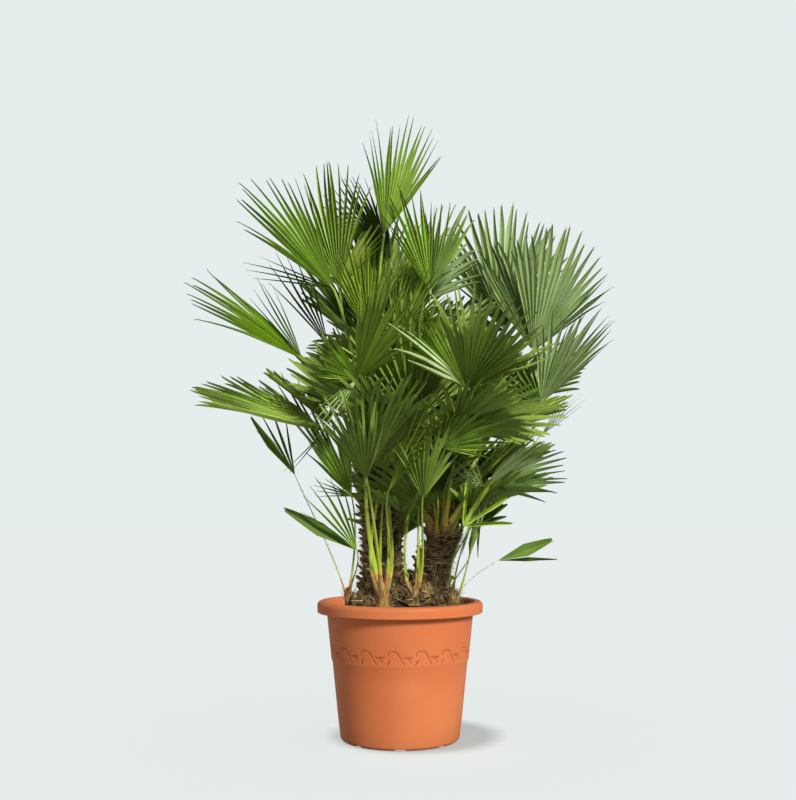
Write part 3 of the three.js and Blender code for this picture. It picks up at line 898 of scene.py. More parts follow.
@dataclass
class Compost:
    """The compost that fills the pot, with crumbs and bark scraps over its top."""

    radius: float = 0.1925
    bottom: float = 0.0093
    bottom_radius: float = 0.156
    sides: int = 96
    rings: int = 24
    swell: float = 0.006
    bumps: float = 40.0
    lift: float = 0.001
    crumbs: int = 900
    crumb_reach: float = 0.97
    crumb_size: tuple[float, float] = (0.0015, 0.0045)
    crumb_flat: tuple[tuple[float, float], ...] = ((0.4, 1.0), (0.25, 0.7))
    crumb_tilt: float = 0.5
    bark_share: float = 0.3
    seed: int = 5

    def build(self, palette: Palette) -> list[Object]:
        """Fills the pot and scatters the crumbs.

        Args:
            palette: the finishes.

        Returns:
            The finished pieces.
        """
        rings = [(UP * SOIL_LEVEL, self.radius * (1.0 - k / self.rings)) for k in range(self.rings)]
        soil = Bench.draw_out("compost_body", self.sides, [(UP * self.bottom, self.bottom_radius), *rings])
        for vertex in soil.data.vertices:
            out = vertex.co.to_2d().length
            if vertex.co.z > SOIL_LEVEL - self.lift and out < self.radius - self.lift:
                vertex.co.z += self.swell * noise.fractal(vertex.co * self.bumps, 1.0, 2.0, 4) - self.lift
        Bench.smooth(soil, 60.0)
        rough = Random(self.seed)
        Bench.clear()
        bpy.ops.mesh.primitive_ico_sphere_add(subdivisions=1, radius=1.0)
        crumb = Bench.take()
        sheaf = Sheaf()
        for _ in range(self.crumbs):
            reach = self.radius * self.crumb_reach * sqrt(rough.random())
            turn = rough.uniform(0.0, tau)
            place = Vector((reach * cos(turn), reach * sin(turn), SOIL_LEVEL + self.lift))
            size = rough.uniform(*self.crumb_size)
            flat = (size, *(size * rough.uniform(*span) for span in self.crumb_flat), 1.0)
            spin = Matrix.Rotation(rough.uniform(0.0, tau), 4, "Z")
            tilt = Matrix.Rotation(rough.uniform(-self.crumb_tilt, self.crumb_tilt), 4, "X")
            turned = Matrix.Translation(place) @ (spin @ tilt) @ Matrix.Diagonal(flat)
            sheaf.stamp(crumb, turned, 1 if rough.random() < self.bark_share else 0)
        return [
            dress(soil, [palette.soil], ["soil"]),
            dress(sheaf.build("compost_crumbs"), [palette.soil, palette.scrap]),
        ]


@dataclass
class Mound:
    """The heap of old leaf bases and fibre that has built up on the compost round the stems.

    Each lump is its middle, its half width and depth, and its height.
    """

    lumps: tuple[tuple[float, float, float, float, float], ...] = (
        (0.04, -0.03, 0.09, 0.066, 0.082),
        (-0.075, -0.045, 0.074, 0.055, 0.045),
        (0.03, 0.06, 0.09, 0.06, 0.04),
        (0.115, -0.02, 0.06, 0.055, 0.03),
    )
    stubs: int = 130
    threads: int = 110
    sunk: float = 0.003
    foot: float = 0.002
    core: tuple[float, float, float] = (0.93, 0.93, 0.9)
    stub_size: tuple[tuple[float, float], ...] = ((0.016, 0.03), (0.014, 0.03), (0.016, 0.034))
    stub_tones: tuple[float, float] = (0.28, 0.8)
    thread_length: tuple[float, float] = (0.015, 0.05)
    thread_thick: tuple[float, float] = (0.0006, 0.0016)
    seed: int = 61

    def build(self, palette: Palette) -> list[Object]:
        """Heaps up each lump: a rough core, the stubs that lie over it, and loose threads.

        Args:
            palette: the finishes.

        Returns:
            The finished pieces.
        """
        rough = Random(self.seed)
        shapes = stub_shapes(rough)
        cores, heap, hair = Sheaf(), Sheaf(), Sheaf()
        Bench.clear()
        bpy.ops.mesh.primitive_uv_sphere_add(segments=32, ring_count=16, radius=1.0)
        dome = Bench.take()
        for x, y, across, deep, high in self.lumps:
            foot = Matrix.Translation((x, y, SOIL_LEVEL - self.foot))
            size = (*(a * b for a, b in zip((across, deep, high), self.core)), 1.0)
            cores.stamp(dome, foot @ Matrix.Diagonal(size), 0)
            for k in range(self.stubs + self.threads):
                turn = k * GOLDEN_TURN
                reach = sqrt((k % self.stubs + rough.random()) / self.stubs)
                out = Vector((cos(turn) * reach, sin(turn) * reach, sqrt(1.0 - 0.98 * reach * reach)))
                at = foot.translation + Vector((out.x * across, out.y * deep, out.z * high))
                away = Vector((out.x / across, out.y / deep, out.z / high)).normalized()
                if k < self.stubs:
                    self.stub(heap, at, away, shapes, rough)
                else:
                    self.thread(hair, at, away, rough)
        return [
            dress(cores.build("mound_core"), [palette.bark]),
            dress(heap.build("mound_stubs"), [palette.darkest_stub, palette.dark_stub]),
            dress(hair.build("mound_threads"), [palette.umber, palette.straw]),
        ]

    def stub(self, heap: Sheaf, at: Vector, away: Vector, shapes: list[Shape], rough: Random) -> None:
        """Lays one stub on a lump.

        Args:
            heap: the mesh to add to.
            at: its place on the lump.
            away: the way out of the lump.
            shapes: the stubs to choose from.
            rough: the seeded numbers.
        """
        up = (UP + away.to_2d().to_3d() * rough.uniform(0.2, 1.6)).normalized()
        turned = (-away).to_track_quat("Y", "Z").to_matrix().to_4x4()
        lean = Matrix.Rotation(rough.uniform(-0.5, 0.5), 4, up)
        size = (*(rough.uniform(*span) for span in self.stub_size), 1.0)
        place = Matrix.Translation(at - away * self.sunk) @ lean @ turned @ Matrix.Diagonal(size)
        heap.stamp(rough.choice(shapes), place, rough.choice((0, 0, 1)), rough.uniform(*self.stub_tones))

    def thread(self, hair: Sheaf, at: Vector, away: Vector, rough: Random) -> None:
        """Lays one loose thread on a lump.

        Args:
            hair: the mesh to add to.
            at: its place on the lump.
            away: the way out of the lump.
            rough: the seeded numbers.
        """
        level = Vector((-away.y, away.x, rough.uniform(-0.3, 0.5)))
        way = (level * rough.choice((-1.0, 1.0)) + away * rough.uniform(0.0, 0.6)).normalized()
        long = rough.uniform(*self.thread_length)
        curl = away * rough.uniform(-0.5, 0.2)
        hair.strand(at, way, curl, long, rough.uniform(*self.thread_thick), rough.choice((0, 1, 1)))


@dataclass
class Stem:
    """What every stem of the clump shares: a foot, and the rounded seat that its stalks come out of."""

    name: str
    foot: Vector
    top: Vector

    def seat(self) -> tuple[Vector, float, float]:
        """Returns the seat's middle, radius across and height."""
        raise NotImplementedError

    def holds(self, place: Vector) -> bool:
        """Says whether a place lies inside the stem."""
        raise NotImplementedError


@dataclass
class Trunk(Stem):
    """A leaning trunk, ringed by the stubs of old leaf bases and matted with fibre."""

    radius: float
    flare: float
    rows: int
    crown_radius: float
    fibres: int
    seed: int
    red: float = 0.5
    dark: bool = False
    sides: int = 48
    stub_depth: float = 0.004
    flare_height: float = 0.053
    swell: float = 0.009
    swell_from: float = 0.55
    dome: float = 0.046
    seat_drop: float = 0.04
    seat_inset: float = 0.004
    seat_below: float = 0.006
    row_shape: tuple[tuple[float, float], ...] = ((0.0, 0.0), (0.45, 0.6), (0.82, 1.0), (0.9, 0.5))
    dome_shape: tuple[float, ...] = (0.0, 0.3, 0.55, 0.78, 0.93, 1.0)
    roughness: float = 0.003
    stub_pitch: float = 0.0021
    stub_overrun: float = 0.012
    stub_sunk: float = 0.005
    stub_size: tuple[tuple[float, float], ...] = ((0.016, 0.025), (0.016, 0.026), (0.018, 0.03))
    stub_tip: tuple[float, float] = (-0.05, 0.35)
    red_from: float = 0.72
    hair_from: float = 0.002
    hair_over: float = 0.025
    hair_bias: float = 1.25
    hair_length: tuple[float, float] = (0.012, 0.04)
    hair_thick: tuple[float, float] = (0.0005, 0.0013)
    core_inset: float = 0.003

    def share(self, z: float) -> float:
        """Returns how far up the trunk a height is, from 0 at the soil to 1 at the crown."""
        return (z - SOIL_LEVEL) / (self.top.z - SOIL_LEVEL)

    def middle(self, z: float) -> Vector:
        """Finds the trunk's middle at a height.

        Args:
            z: the height.

        Returns:
            The middle there.
        """
        t = self.share(z)
        lean = t * t * (1.5 - 0.5 * t)
        return Vector((mix(self.foot.x, self.top.x, lean), mix(self.foot.y, self.top.y, lean), z))

    def radius_at(self, z: float) -> float:
        """Measures the trunk at a height.

        Args:
            z: the height.

        Returns:
            The trunk's radius there.
        """
        t = self.share(z)
        flare = self.flare * exp(-(z - SOIL_LEVEL) / self.flare_height)
        return mix(self.radius, self.crown_radius, t) + flare + self.swell * max(0.0, t - self.swell_from)

    def seat(self) -> tuple[Vector, float, float]:
        """Returns the seat's middle, radius across and height."""
        across = self.radius_at(self.top.z) - self.seat_inset
        return self.middle(self.top.z - self.seat_drop), across, self.dome + self.seat_drop - self.seat_below

    def holds(self, place: Vector) -> bool:
        """Says whether a place lies inside the trunk.

        Args:
            place: the place.

        Returns:
            True where it does.
        """
        if not SOIL_LEVEL < place.z < self.top.z + self.dome * 0.7:
            return False
        return (place - self.middle(min(place.z, self.top.z))).to_2d().length < self.radius_at(place.z)

    def core(self) -> Object:
        """Returns the trunk's core, drawn out row after row of leaf bases, and roughened."""
        bottom = SOIL_LEVEL + GAP
        row = (self.top.z - bottom) / self.rows
        rings = []
        for k in range(self.rows):
            for part, out in self.row_shape:
                z = bottom + (k + part) * row
                rings.append((self.middle(z), self.radius_at(z) - self.core_inset + out * self.stub_depth))
        flat = self.middle(self.top.z).to_2d().to_3d()
        for lift in self.dome_shape:
            middle = flat + UP * (self.top.z + lift * self.dome)
            rings.append((middle, self.radius_at(self.top.z) * sqrt(1.04 - lift * lift) - self.core_inset))
        core = Bench.draw_out(f"{self.name}_core", self.sides, rings)
        for vertex in core.data.vertices:
            x, y, z = vertex.co
            out = (vertex.co - self.middle(min(z, self.top.z))).to_2d().normalized().to_3d()
            vertex.co += out * (self.roughness * noise.fractal(Vector((x * 60, y * 60, z * 35)), 1.0, 2.0, 4))
        Bench.smooth(core, 50.0)
        return core

    def stubs(self, rough: Random) -> Object:
        """Sets the stubs in a spiral round the trunk, as the leaves once grew.

        Args:
            rough: the seeded numbers.

        Returns:
            The stubs as one piece.
        """
        shapes = stub_shapes(rough)
        sheaf = Sheaf()
        z = SOIL_LEVEL - self.stub_overrun
        turn = rough.uniform(0.0, tau)
        while z < self.top.z + self.stub_overrun:
            turn += GOLDEN_TURN + rough.uniform(-0.12, 0.12)
            z += self.stub_pitch * rough.uniform(0.7, 1.3)
            t = max(0.0, self.share(z))
            place = self.middle(z) + outward(turn) * (self.radius_at(min(z, self.top.z)) - self.stub_sunk)
            face = Matrix.Rotation(turn + pi / 2 + rough.uniform(-0.25, 0.25), 4, "Z")
            tip = Matrix.Rotation(rough.uniform(*self.stub_tip) + self.stub_tip[1] * (1.0 - t), 4, "X")
            roll = Matrix.Rotation(rough.uniform(-0.3, 0.3), 4, "Y")
            size = (*(rough.uniform(*span) for span in self.stub_size), 1.0)
            turned = Matrix.Translation(place) @ face @ tip @ roll @ Matrix.Diagonal(size)
            kind = 1 if t > self.red_from and rough.random() < self.red else 0
            sheaf.stamp(rough.choice(shapes), turned, kind)
        return sheaf.build(f"{self.name}_stubs")

    def hair(self, rough: Random) -> Object:
        """Mats the trunk with torn fibres that lie round it and curl away from it.

        Args:
            rough: the seeded numbers.

        Returns:
            The fibres as one piece.
        """
        sheaf = Sheaf()
        for _ in range(self.fibres):
            share = rough.random() ** self.hair_bias
            z = mix(SOIL_LEVEL - self.hair_from, self.top.z + self.hair_over, share)
            out = outward(rough.uniform(0.0, tau))
            level = Vector((-out.y, out.x, 0.0)) * rough.choice((-1.0, 1.0))
            low = min(z, self.top.z)
            at = self.middle(low) + out * (self.radius_at(low) - self.hair_from)
            at.z = z
            way = level * rough.uniform(0.5, 1.0) + UP * rough.uniform(-0.4, 0.6)
            way = (way + out * rough.uniform(0.05, 0.5)).normalized()
            length = rough.uniform(*self.hair_length)
            curl = out * rough.uniform(-0.5, 0.3)
            thick = rough.uniform(*self.hair_thick)
            sheaf.strand(at, way, curl, length, thick, rough.choice((0, 1, 1, 1, 2)))
        return sheaf.build(f"{self.name}_hair")

    def build(self, palette: Palette) -> list[Object]:
        """Builds the core, stubs and fibres.

        Args:
            palette: the finishes.

        Returns:
            The finished pieces.
        """
        rough = Random(self.seed)
        stub = palette.dark_stub if self.dark else palette.stub
        return [
            dress(self.core(), [palette.bark], [self.name]),
            dress(self.stubs(rough), [stub, palette.red]),
            dress(self.hair(rough), [palette.umber, palette.straw, palette.red]),
        ]


@dataclass
class Sucker(Stem):
    """A short young stem in layered dry sheaths."""

    radius: float
    slim: float = 0.8
    bright: bool = False
    sides: int = 20
    steps: int = 12
    seat_drop: float = 0.014
    seat_inset: float = 0.002
    seat_below: float = -0.004
    layers: int = 4
    layer_depth: float = 0.08
    taper: tuple[float, float] = (1.2, 0.62)
    taper_bend: float = 1.4
    overrun: float = 1.1
    roughness: float = 0.16
    tongues: int = 26
    tongues_to: float = 0.8
    tongue_foot: tuple[float, float] = (1.12, 0.85)
    tongue_length: tuple[float, float] = (0.018, 0.04)
    tongue_width: tuple[float, float] = (0.004, 0.009)
    hairs: int = 60
    hairs_to: float = 0.9
    hair_foot: float = 1.05
    hair_length: tuple[float, float] = (0.012, 0.035)
    hair_thick: float = 0.0005
    seed: int = 21

    def seat(self) -> tuple[Vector, float, float]:
        """Returns the seat's middle, radius across and height."""
        return self.top - UP * self.seat_drop, self.radius - self.seat_inset, self.seat_drop - self.seat_below

    def holds(self, place: Vector) -> bool:
        """Says whether a place lies inside the sucker's stem."""
        return SOIL_LEVEL < place.z < self.top.z and (place - self.top).to_2d().length < self.radius

    def build(self, palette: Palette) -> list[Object]:
        """Builds the sheathed stem, then the torn sheath tongues and loose hairs round it.

        Args:
            palette: the finishes.

        Returns:
            The finished pieces.
        """
        rough = Random(f"{self.name}{self.seed}")
        bottom = Vector((self.foot.x, self.foot.y, SOIL_LEVEL + GAP))
        rings = []
        for k in range(self.steps + 1):
            t = k / self.steps
            wide = mix(*self.taper, t ** self.taper_bend) + self.layer_depth * ((t * self.layers) % 1.0)
            rings.append((bottom.lerp(self.top, t * self.overrun), self.radius * self.slim * wide))
        rings.append((rings[-1][0] + UP * 0.002, self.radius * 0.35))
        stem = Bench.draw_out(f"{self.name}_stem", self.sides, rings)
        for vertex in stem.data.vertices:
            middle = bottom.lerp(self.top, (vertex.co.z - bottom.z) / (self.top.z - bottom.z))
            out = (vertex.co - middle).to_2d().to_3d()
            vertex.co += out * (self.roughness * noise.fractal(vertex.co * 110.0, 1.0, 2.0, 3))
        Bench.smooth(stem, 60.0)
        sheaf = Sheaf()
        for k in range(self.tongues):
            out = outward(k * GOLDEN_TURN)
            t = k / self.tongues
            at = bottom.lerp(self.top, t * self.tongues_to) + out * (self.radius * mix(*self.tongue_foot, t))
            length = rough.uniform(*self.tongue_length)
            sheaf.tongue(at, out, length, rough.uniform(*self.tongue_width), rough)
        for _ in range(self.hairs):
            out = outward(rough.uniform(0.0, tau))
            low = bottom.lerp(self.top, rough.uniform(0.0, self.hairs_to))
            at = low + out * (self.radius * self.hair_foot)
            way = (out * rough.uniform(0.1, 0.8) + UP * rough.uniform(0.2, 1.0)).normalized()
            curl = out * rough.uniform(-0.2, 0.6)
            length = rough.uniform(*self.hair_length)
            sheaf.strand(at, way, curl, length, self.hair_thick, rough.choice((1, 2)))
        skin = palette.sheath if self.bright else palette.stub
        wraps = sheaf.build(f"{self.name}_wraps")
        return [
            dress(stem, [skin], [self.name]),
            dress(wraps, [skin, palette.umber, palette.straw]),
        ]


class Cut(Enum):
    """How leaflets part: from and to where, their fullness once apart, where they are widest, their taper."""

    SPIKY = (0.44, 0.68, 0.96, 0.0, 0.42)
    BLUNT = (0.58, 0.8, 0.96, 0.0, 0.38)
    LOOSE = (0.1, 0.2, 0.88, 0.5, 0.5)
    WHOLE = (0.5, 0.56, 1.0, 0.0, 0.38)
    LOBED = (0.1, 0.2, 0.5, 0.8, 0.3)

    @staticmethod
    def of(ribs: int, tone: Tone, reach: float) -> "Cut":
        """Chooses the cut of a fan.

        Args:
            ribs: how many leaflets it has.
            tone: its tone.
            reach: its leaflets' length.

        Returns:
            The cut.
        """
        if ribs < 2:
            return Cut.WHOLE
        if ribs < 6:
            return Cut.LOBED if tone is Tone.YOUNG and ribs == 3 else Cut.LOOSE
        return Cut.BLUNT if tone is Tone.GREY and reach > 0.3 else Cut.SPIKY


@dataclass
class Frond:
    """One frond: where it sits, which way its middle rib runs, and its fan's size.

    Its folds are leaflets of its own that leave the fan at the same hub.
    """

    on: str
    hub: Vector
    aim: tuple[float, float]
    roll: float
    reach: float
    spread: float
    cup: float
    ribs: int
    tone: Tone
    folds: list["Frond"] = field(default_factory=list)
    root: Vector = field(default_factory=Vector)
    way: Vector = field(default_factory=Vector)

    def axes(self) -> tuple[Vector, Vector, Vector]:
        """Returns the blade's middle rib, side and face directions."""
        along = direction(self.aim[0], self.aim[1])
        face_up = direction(self.aim[0] + 180, 90 - self.aim[1])
        roll = radians(self.roll)
        face = face_up * cos(roll) + face_up.cross(along) * sin(roll)
        return along, face.cross(along), face

    def blade_way(self, angle: float) -> Vector:
        """Returns the blade's direction at an angle either side of its middle rib."""
        along, side, face = self.axes()
        return (along * cos(angle) + side * sin(angle) + face * (self.cup * (1.0 - cos(angle)))).normalized()


@dataclass(frozen=True)
class Fill:
    """A crown's sector that no one side of the plant shows, filled by the turn of a palm's spiral."""

    on: str
    count: int
    bearing: float
    sector: float
    rise: tuple[float, float]
    stalk: tuple[float, float]
    reach: float
    ribs: int
    # The dark tone among these is painted shade.
    tones: tuple[Tone, ...] = (Tone.MID, Tone.DARK, Tone.GREY)


@dataclass
class Numbers:
    """A repeatable run of numbers from 0 to 1, the same as in the part's source."""

    state: int

    def next(self) -> float:
        """Returns the next number."""
        word = 0xFFFFFFFF
        self.state = (self.state + 0x6D2B79F5) & word
        mixed = ((self.state ^ (self.state >> 15)) * (self.state | 1)) & word
        mixed = ((mixed + ((mixed ^ (mixed >> 7)) * (mixed | 61) & word)) ^ mixed) & word
        return ((mixed ^ (mixed >> 14)) & word) / (word + 1)


@dataclass
class Crown:
    """All the fronds: those set by their place on the real plant, and those that fill in the rest."""

    stems: dict[str, Stem]
    seed: int = 80
    inner_seed: int = 81
    turn: float = 0.381966
    nod: float = 24.0
    wander: float = 14.0
    roll: float = 42.0
    fill_reach: tuple[float, float] = (0.9, 1.04)
    fill_spread: tuple[float, float] = (127.5, 162.0)
    fill_cup: tuple[float, float] = (0.1, 0.3)
    spacing: float = 0.017
    crowding: float = 2.6
    rounds: int = 80
    lowest: float = 0.02

    def set_fronds(self) -> list[Frond]:
        """Returns the fronds that are set by their place on the real plant, from millimetres and degrees."""
        # Here bright marks a frond with painted light and dark a frond with painted shade.
        mid, bright, dark, grey, young = Tone.MID, Tone.BRIGHT, Tone.DARK, Tone.GREY, Tone.YOUNG
        rows = {
            "trunk_left": (
                ((-179, -112, 1204), (-173, 54), 80, 392, 44, 0.15, 11, mid),
                ((-168, -60, 1218), (-102, 76), -167, 366, 46, 0.15, 10, mid),
                ((-45, 20, 1392), (19, 77), -74, 380, 50, 0.25, 13, mid),
                ((-270, -40, 1026), (-174, 35), 68, 388, 28, 0.15, 8, bright),
                ((-205, 60, 1078), (-180, 62), 77, 325, 34, 0.1, 5, dark),
                ((-200, -120, 819), (165, 22), 16, 408, 66, 0.23, 18, mid),
                ((-110, -250, 942), (-57, 43), -107, 300, 64, 0.2, 13, bright),
                ((-83, -150, 1083), (-97, 68), 165, 262, 66, 0.15, 14, bright),
                ((36, -90, 850), (-95, 58), -14, 310, 130, 0.2, 16, dark),
                ((-22, -60, 1065), (-35, 61), -125, 262, 60, 0.15, 14, mid),
                ((-127, -130, 646), (-157, 64), 99, 215, 48, 0.15, 7, mid),
                ((-26, 90, 1324), (172, 60), 70, 312, 52, 0.15, 13, dark),
            ),
            "trunk_right": (
                ((84, -30, 1216), (70, 64), 3, 335, 52, 0.43, 14, dark),
                ((311, 190, 1147), (127, 85), 37, 400, 78, 0.15, 17, grey),
                ((388, 120, 1070), (0, 74), -87, 402, 56, 0.15, 12, grey),
                ((169, -270, 916), (-70, 40), 37, 330, 86, 0.3, 15, bright),
                ((381, -80, 897), (-7, 56), -91, 322, 34, 0.15, 10, grey),
                ((392, -10, 818), (0, 48), -83, 178, 32, 0.1, 5, grey),
                ((216, -160, 669), (-11, 19), -64, 230, 70, 0.2, 12, grey),
                ((143, -170, 828), (-25, 12), 20, 300, 130, 0.1, 18, mid),
                ((104, -215, 770), (-14, 31), -80, 200, 96, 0.1, 9, mid),
                ((-18, -130, 806), (-120, 34), 8, 280, 130, 0.1, 14, mid),
                ((99, -150, 628), (-124, 83), 140, 215, 50, 0.15, 9, dark),
                ((161, -200, 569), (-11, 45), -90, 145, 104, 0.1, 3, young),
            ),
            "left_sucker": (
                ((-132, -70, 655), (163, 58), 27, 400, 26, 0.3, 5, dark),
                ((-112, -150, 506), (-168, 58), 86, 228, 50, 0.1, 5, mid),
                ((-284, -60, 704), (-180, 65), 88, 205, 38, 0.1, 3, mid),
            ),
            "front_sucker": (
                ((-86, -180, 720), (-60, 52), 0, 300, 90, 0.3, 14, mid),
                ((-31, -190, 658), (-48, 48), -111, 330, 24, 0.1, 4, bright),
                ((-86, -215, 690), (-120, 62), 0, 250, 70, 0.2, 9, mid),
            ),
            "middle_sucker": (
                ((14, -150, 580), (40, 62), 30, 150, 26, 0.1, 3, dark),
                ((58, -190, 640), (-75, 66), 0, 220, 70, 0.2, 9, dark),
            ),
            "right_sucker": (
                ((180, -130, 487), (20, 76), 0, 180, 30, 0.2, 5, grey),
                ((258, -100, 478), (0, 19), -66, 168, 26, 0.1, 1, dark),
            ),
        }
        return [
            Frond(on, Vector(hub) / 1000.0, aim, roll, reach / 1000.0, *fan)
            for on, own in rows.items() for hub, aim, roll, reach, *fan in own
        ]

    def fills(self) -> list[Fill]:
        """Returns the sectors that are filled in."""
        soft = (Tone.YOUNG, Tone.MID)
        return [
            Fill("trunk_left", 7, 78, 84, (46, 82), (0.36, 0.5), 0.34, 20),
            Fill("trunk_right", 5, 78, 112, (42, 78), (0.38, 0.51), 0.345, 20),
            # All painted shade: every frond of this sector takes the dark tone.
            Fill("trunk_right", 1, -120, 70, (66, 84), (0.38, 0.49), 0.32, 18, (Tone.DARK,)),
            Fill("back_sucker", 2, 100, 150, (50, 78), (0.15, 0.26), 0.24, 9, soft),
            Fill("far_sucker", 1, 30, 90, (56, 74), (0.15, 0.22), 0.22, 8, soft),
        ]

    def fold(self, fronds: list[Frond]) -> None:
        """Gives fronds the leaflets that hang or fold back from their hubs.

        Args:
            fronds: the set fronds, in order.
        """
        # Here dark marks a fold with painted shade, and pale a silvery underside with painted light.
        mid, young, dark, grey, pale = Tone.MID, Tone.YOUNG, Tone.DARK, Tone.GREY, Tone.PALE
        for number, *fan in (
            (1, (-180, 17), 85, 0.262, 20, 0.05, 3, dark),
            (4, (-180, 59), 74, 0.262, 26, 0.05, 4, mid),
            (7, (-128, -41), 47, 0.24, 26, 0.05, 4, pale),
            (6, (-150, -46), 58, 0.17, 10, 0.05, 2, young),
            (7, (-157, 28), 87, 0.15, 76, 0.05, 8, mid),
            (16, (-128, 20), 60, 0.325, 38, 0.05, 3, pale),
            (16, (143, 52), 45, 0.3, 44, 0.05, 9, mid),
            (14, (176, 4), 78, 0.24, 56, 0.05, 10, mid),
            (14, (17, 61), -73, 0.37, 36, 0.1, 8, grey),
            (15, (156, 70), 65, 0.38, 34, 0.1, 8, grey),
            (15, (0, 44), -86, 0.33, 16, 0.1, 6, grey),
            (14, (169, 58), 77, 0.33, 30, 0.1, 6, mid),
            (13, (164, 75), 73, 0.33, 40, 0.1, 9, mid),
            (2, (-11, 58), -80, 0.215, 30, 0.05, 7, young),
            (17, (0, 75), -86, 0.26, 40, 0.1, 6, grey),
            (11, (-169, 18), 75, 0.108, 40, 0.05, 4, mid),
            (17, (-180, 40), 86, 0.17, 84, 0.05, 7, dark),
            (19, (-167, 37), 93, 0.115, 84, 0.05, 5, pale),
            (19, (-160, -75), 69, 0.2, 26, 0.05, 2, grey),
            (26, (-173, 29), 76, 0.228, 19, 0.05, 1, dark),
            (27, (-180, 51), 86, 0.215, 12, 0.05, 1, mid),
            (34, (0, 1), -64, 0.168, 9, 0.05, 1, dark),
        ):
            frond = fronds[number - 1]
            frond.folds.append(Frond(frond.on, frond.hub, *fan))

    def inner(self) -> list[Fill]:
        """Returns the small fronds low in the crowns, which thicken them within the reach of the rest."""
        # Mostly the dark tone: painted shade for the small fronds low in the crowns.
        tones = (Tone.DARK, Tone.MID, Tone.DARK, Tone.DARK)
        return [
            Fill("trunk_left", 13, 90, 360, (44, 84), (0.15, 0.32), 0.235, 15, tones),
            Fill("trunk_right", 13, 90, 360, (40, 80), (0.14, 0.32), 0.25, 15, tones),
            Fill("trunk_right", 5, 78, 76, (60, 84), (0.36, 0.47), 0.27, 17, tones[:2]),
            # The bright tone here is painted light.
            Fill("front_sucker", 4, 60, 50, (84, 89), (0.3, 0.39), 0.17, 8, (Tone.YOUNG, Tone.BRIGHT)),
            Fill("right_sucker", 3, 40, 50, (64, 80), (0.16, 0.24), 0.13, 6, tones[:2]),
            Fill("middle_sucker", 3, 80, 80, (78, 87), (0.24, 0.34), 0.15, 7, (Tone.MID, Tone.YOUNG)),
        ]

    def fill_fronds(self, rule: Fill, numbers: Numbers) -> list[Frond]:
        """Grows one sector's fronds, oldest first, each a spiral's turn on from the last.

        Args:
            rule: the sector.
            numbers: the repeatable numbers.

        Returns:
            The new fronds.
        """
        middle, _, _ = self.stems[rule.on].seat()
        grown = []
        for k in range(rule.count):
            age = (k + 0.5) / rule.count
            turn = ((k + 1) * self.turn) % 1.0
            bearing = rule.bearing + (turn - 0.5) * rule.sector + (numbers.next() - 0.5) * self.wander
            rise = mix(*rule.rise, age)
            hub = middle + direction(bearing, rise) * mix(*rule.stalk, numbers.next())
            nod = self.nod * (1.0 - age) * (numbers.next() + 0.3)
            aim = (bearing + (numbers.next() - 0.5) * self.wander, rise - nod)
            roll = (numbers.next() - 0.5) * self.roll
            reach = rule.reach * mix(*self.fill_reach, numbers.next())
            spread = mix(*self.fill_spread, numbers.next())
            cup = mix(*self.fill_cup, numbers.next())
            tone = rule.tones[k % len(rule.tones)]
            grown.append(Frond(rule.on, hub, aim, roll, reach, spread, cup, rule.ribs, tone))
        return grown

    def root(self, fronds: list[Frond]) -> None:
        """Spreads the stalks' roots over each crown's rounded top, so that no two start in one place.

        Args:
            fronds: all the fronds, whose roots and first directions it sets.
        """
        for name, stem in self.stems.items():
            middle, across, up = stem.seat()
            own = [frond for frond in fronds if frond.on == name]
            ways = [(frond.hub - middle).normalized() for frond in own]
            spacing = min(self.spacing / across, self.crowding / sqrt(max(1, len(own))))
            for _ in range(self.rounds):
                for i in range(len(ways)):
                    for j in range(i):
                        apart = ways[i] - ways[j]
                        short = spacing - apart.length
                        if short > 0.0:
                            push = apart.normalized() * (short / 2 + 1e-4)
                            ways[i] = (ways[i] + push).normalized()
                            ways[j] = (ways[j] - push).normalized()
                for way in ways:
                    way.z = max(way.z, self.lowest)
                    way.normalize()
            for frond, way in zip(own, ways):
                frond.way = way
                frond.root = middle + Vector((way.x * across, way.y * across, way.z * up))

    def grow(self) -> list[Frond]:
        """Returns every frond, rooted, with the solids' own fronds first and in their order."""
        numbers, low = Numbers(self.seed), Numbers(self.inner_seed)
        fronds = self.set_fronds()
        self.fold(fronds)
        for rule in self.fills():
            fronds += self.fill_fronds(rule, numbers)
        self.root(fronds)
        for rule in self.inner():
            grown = self.fill_fronds(rule, low)
            self.root(grown)
            fronds += grown
        return fronds


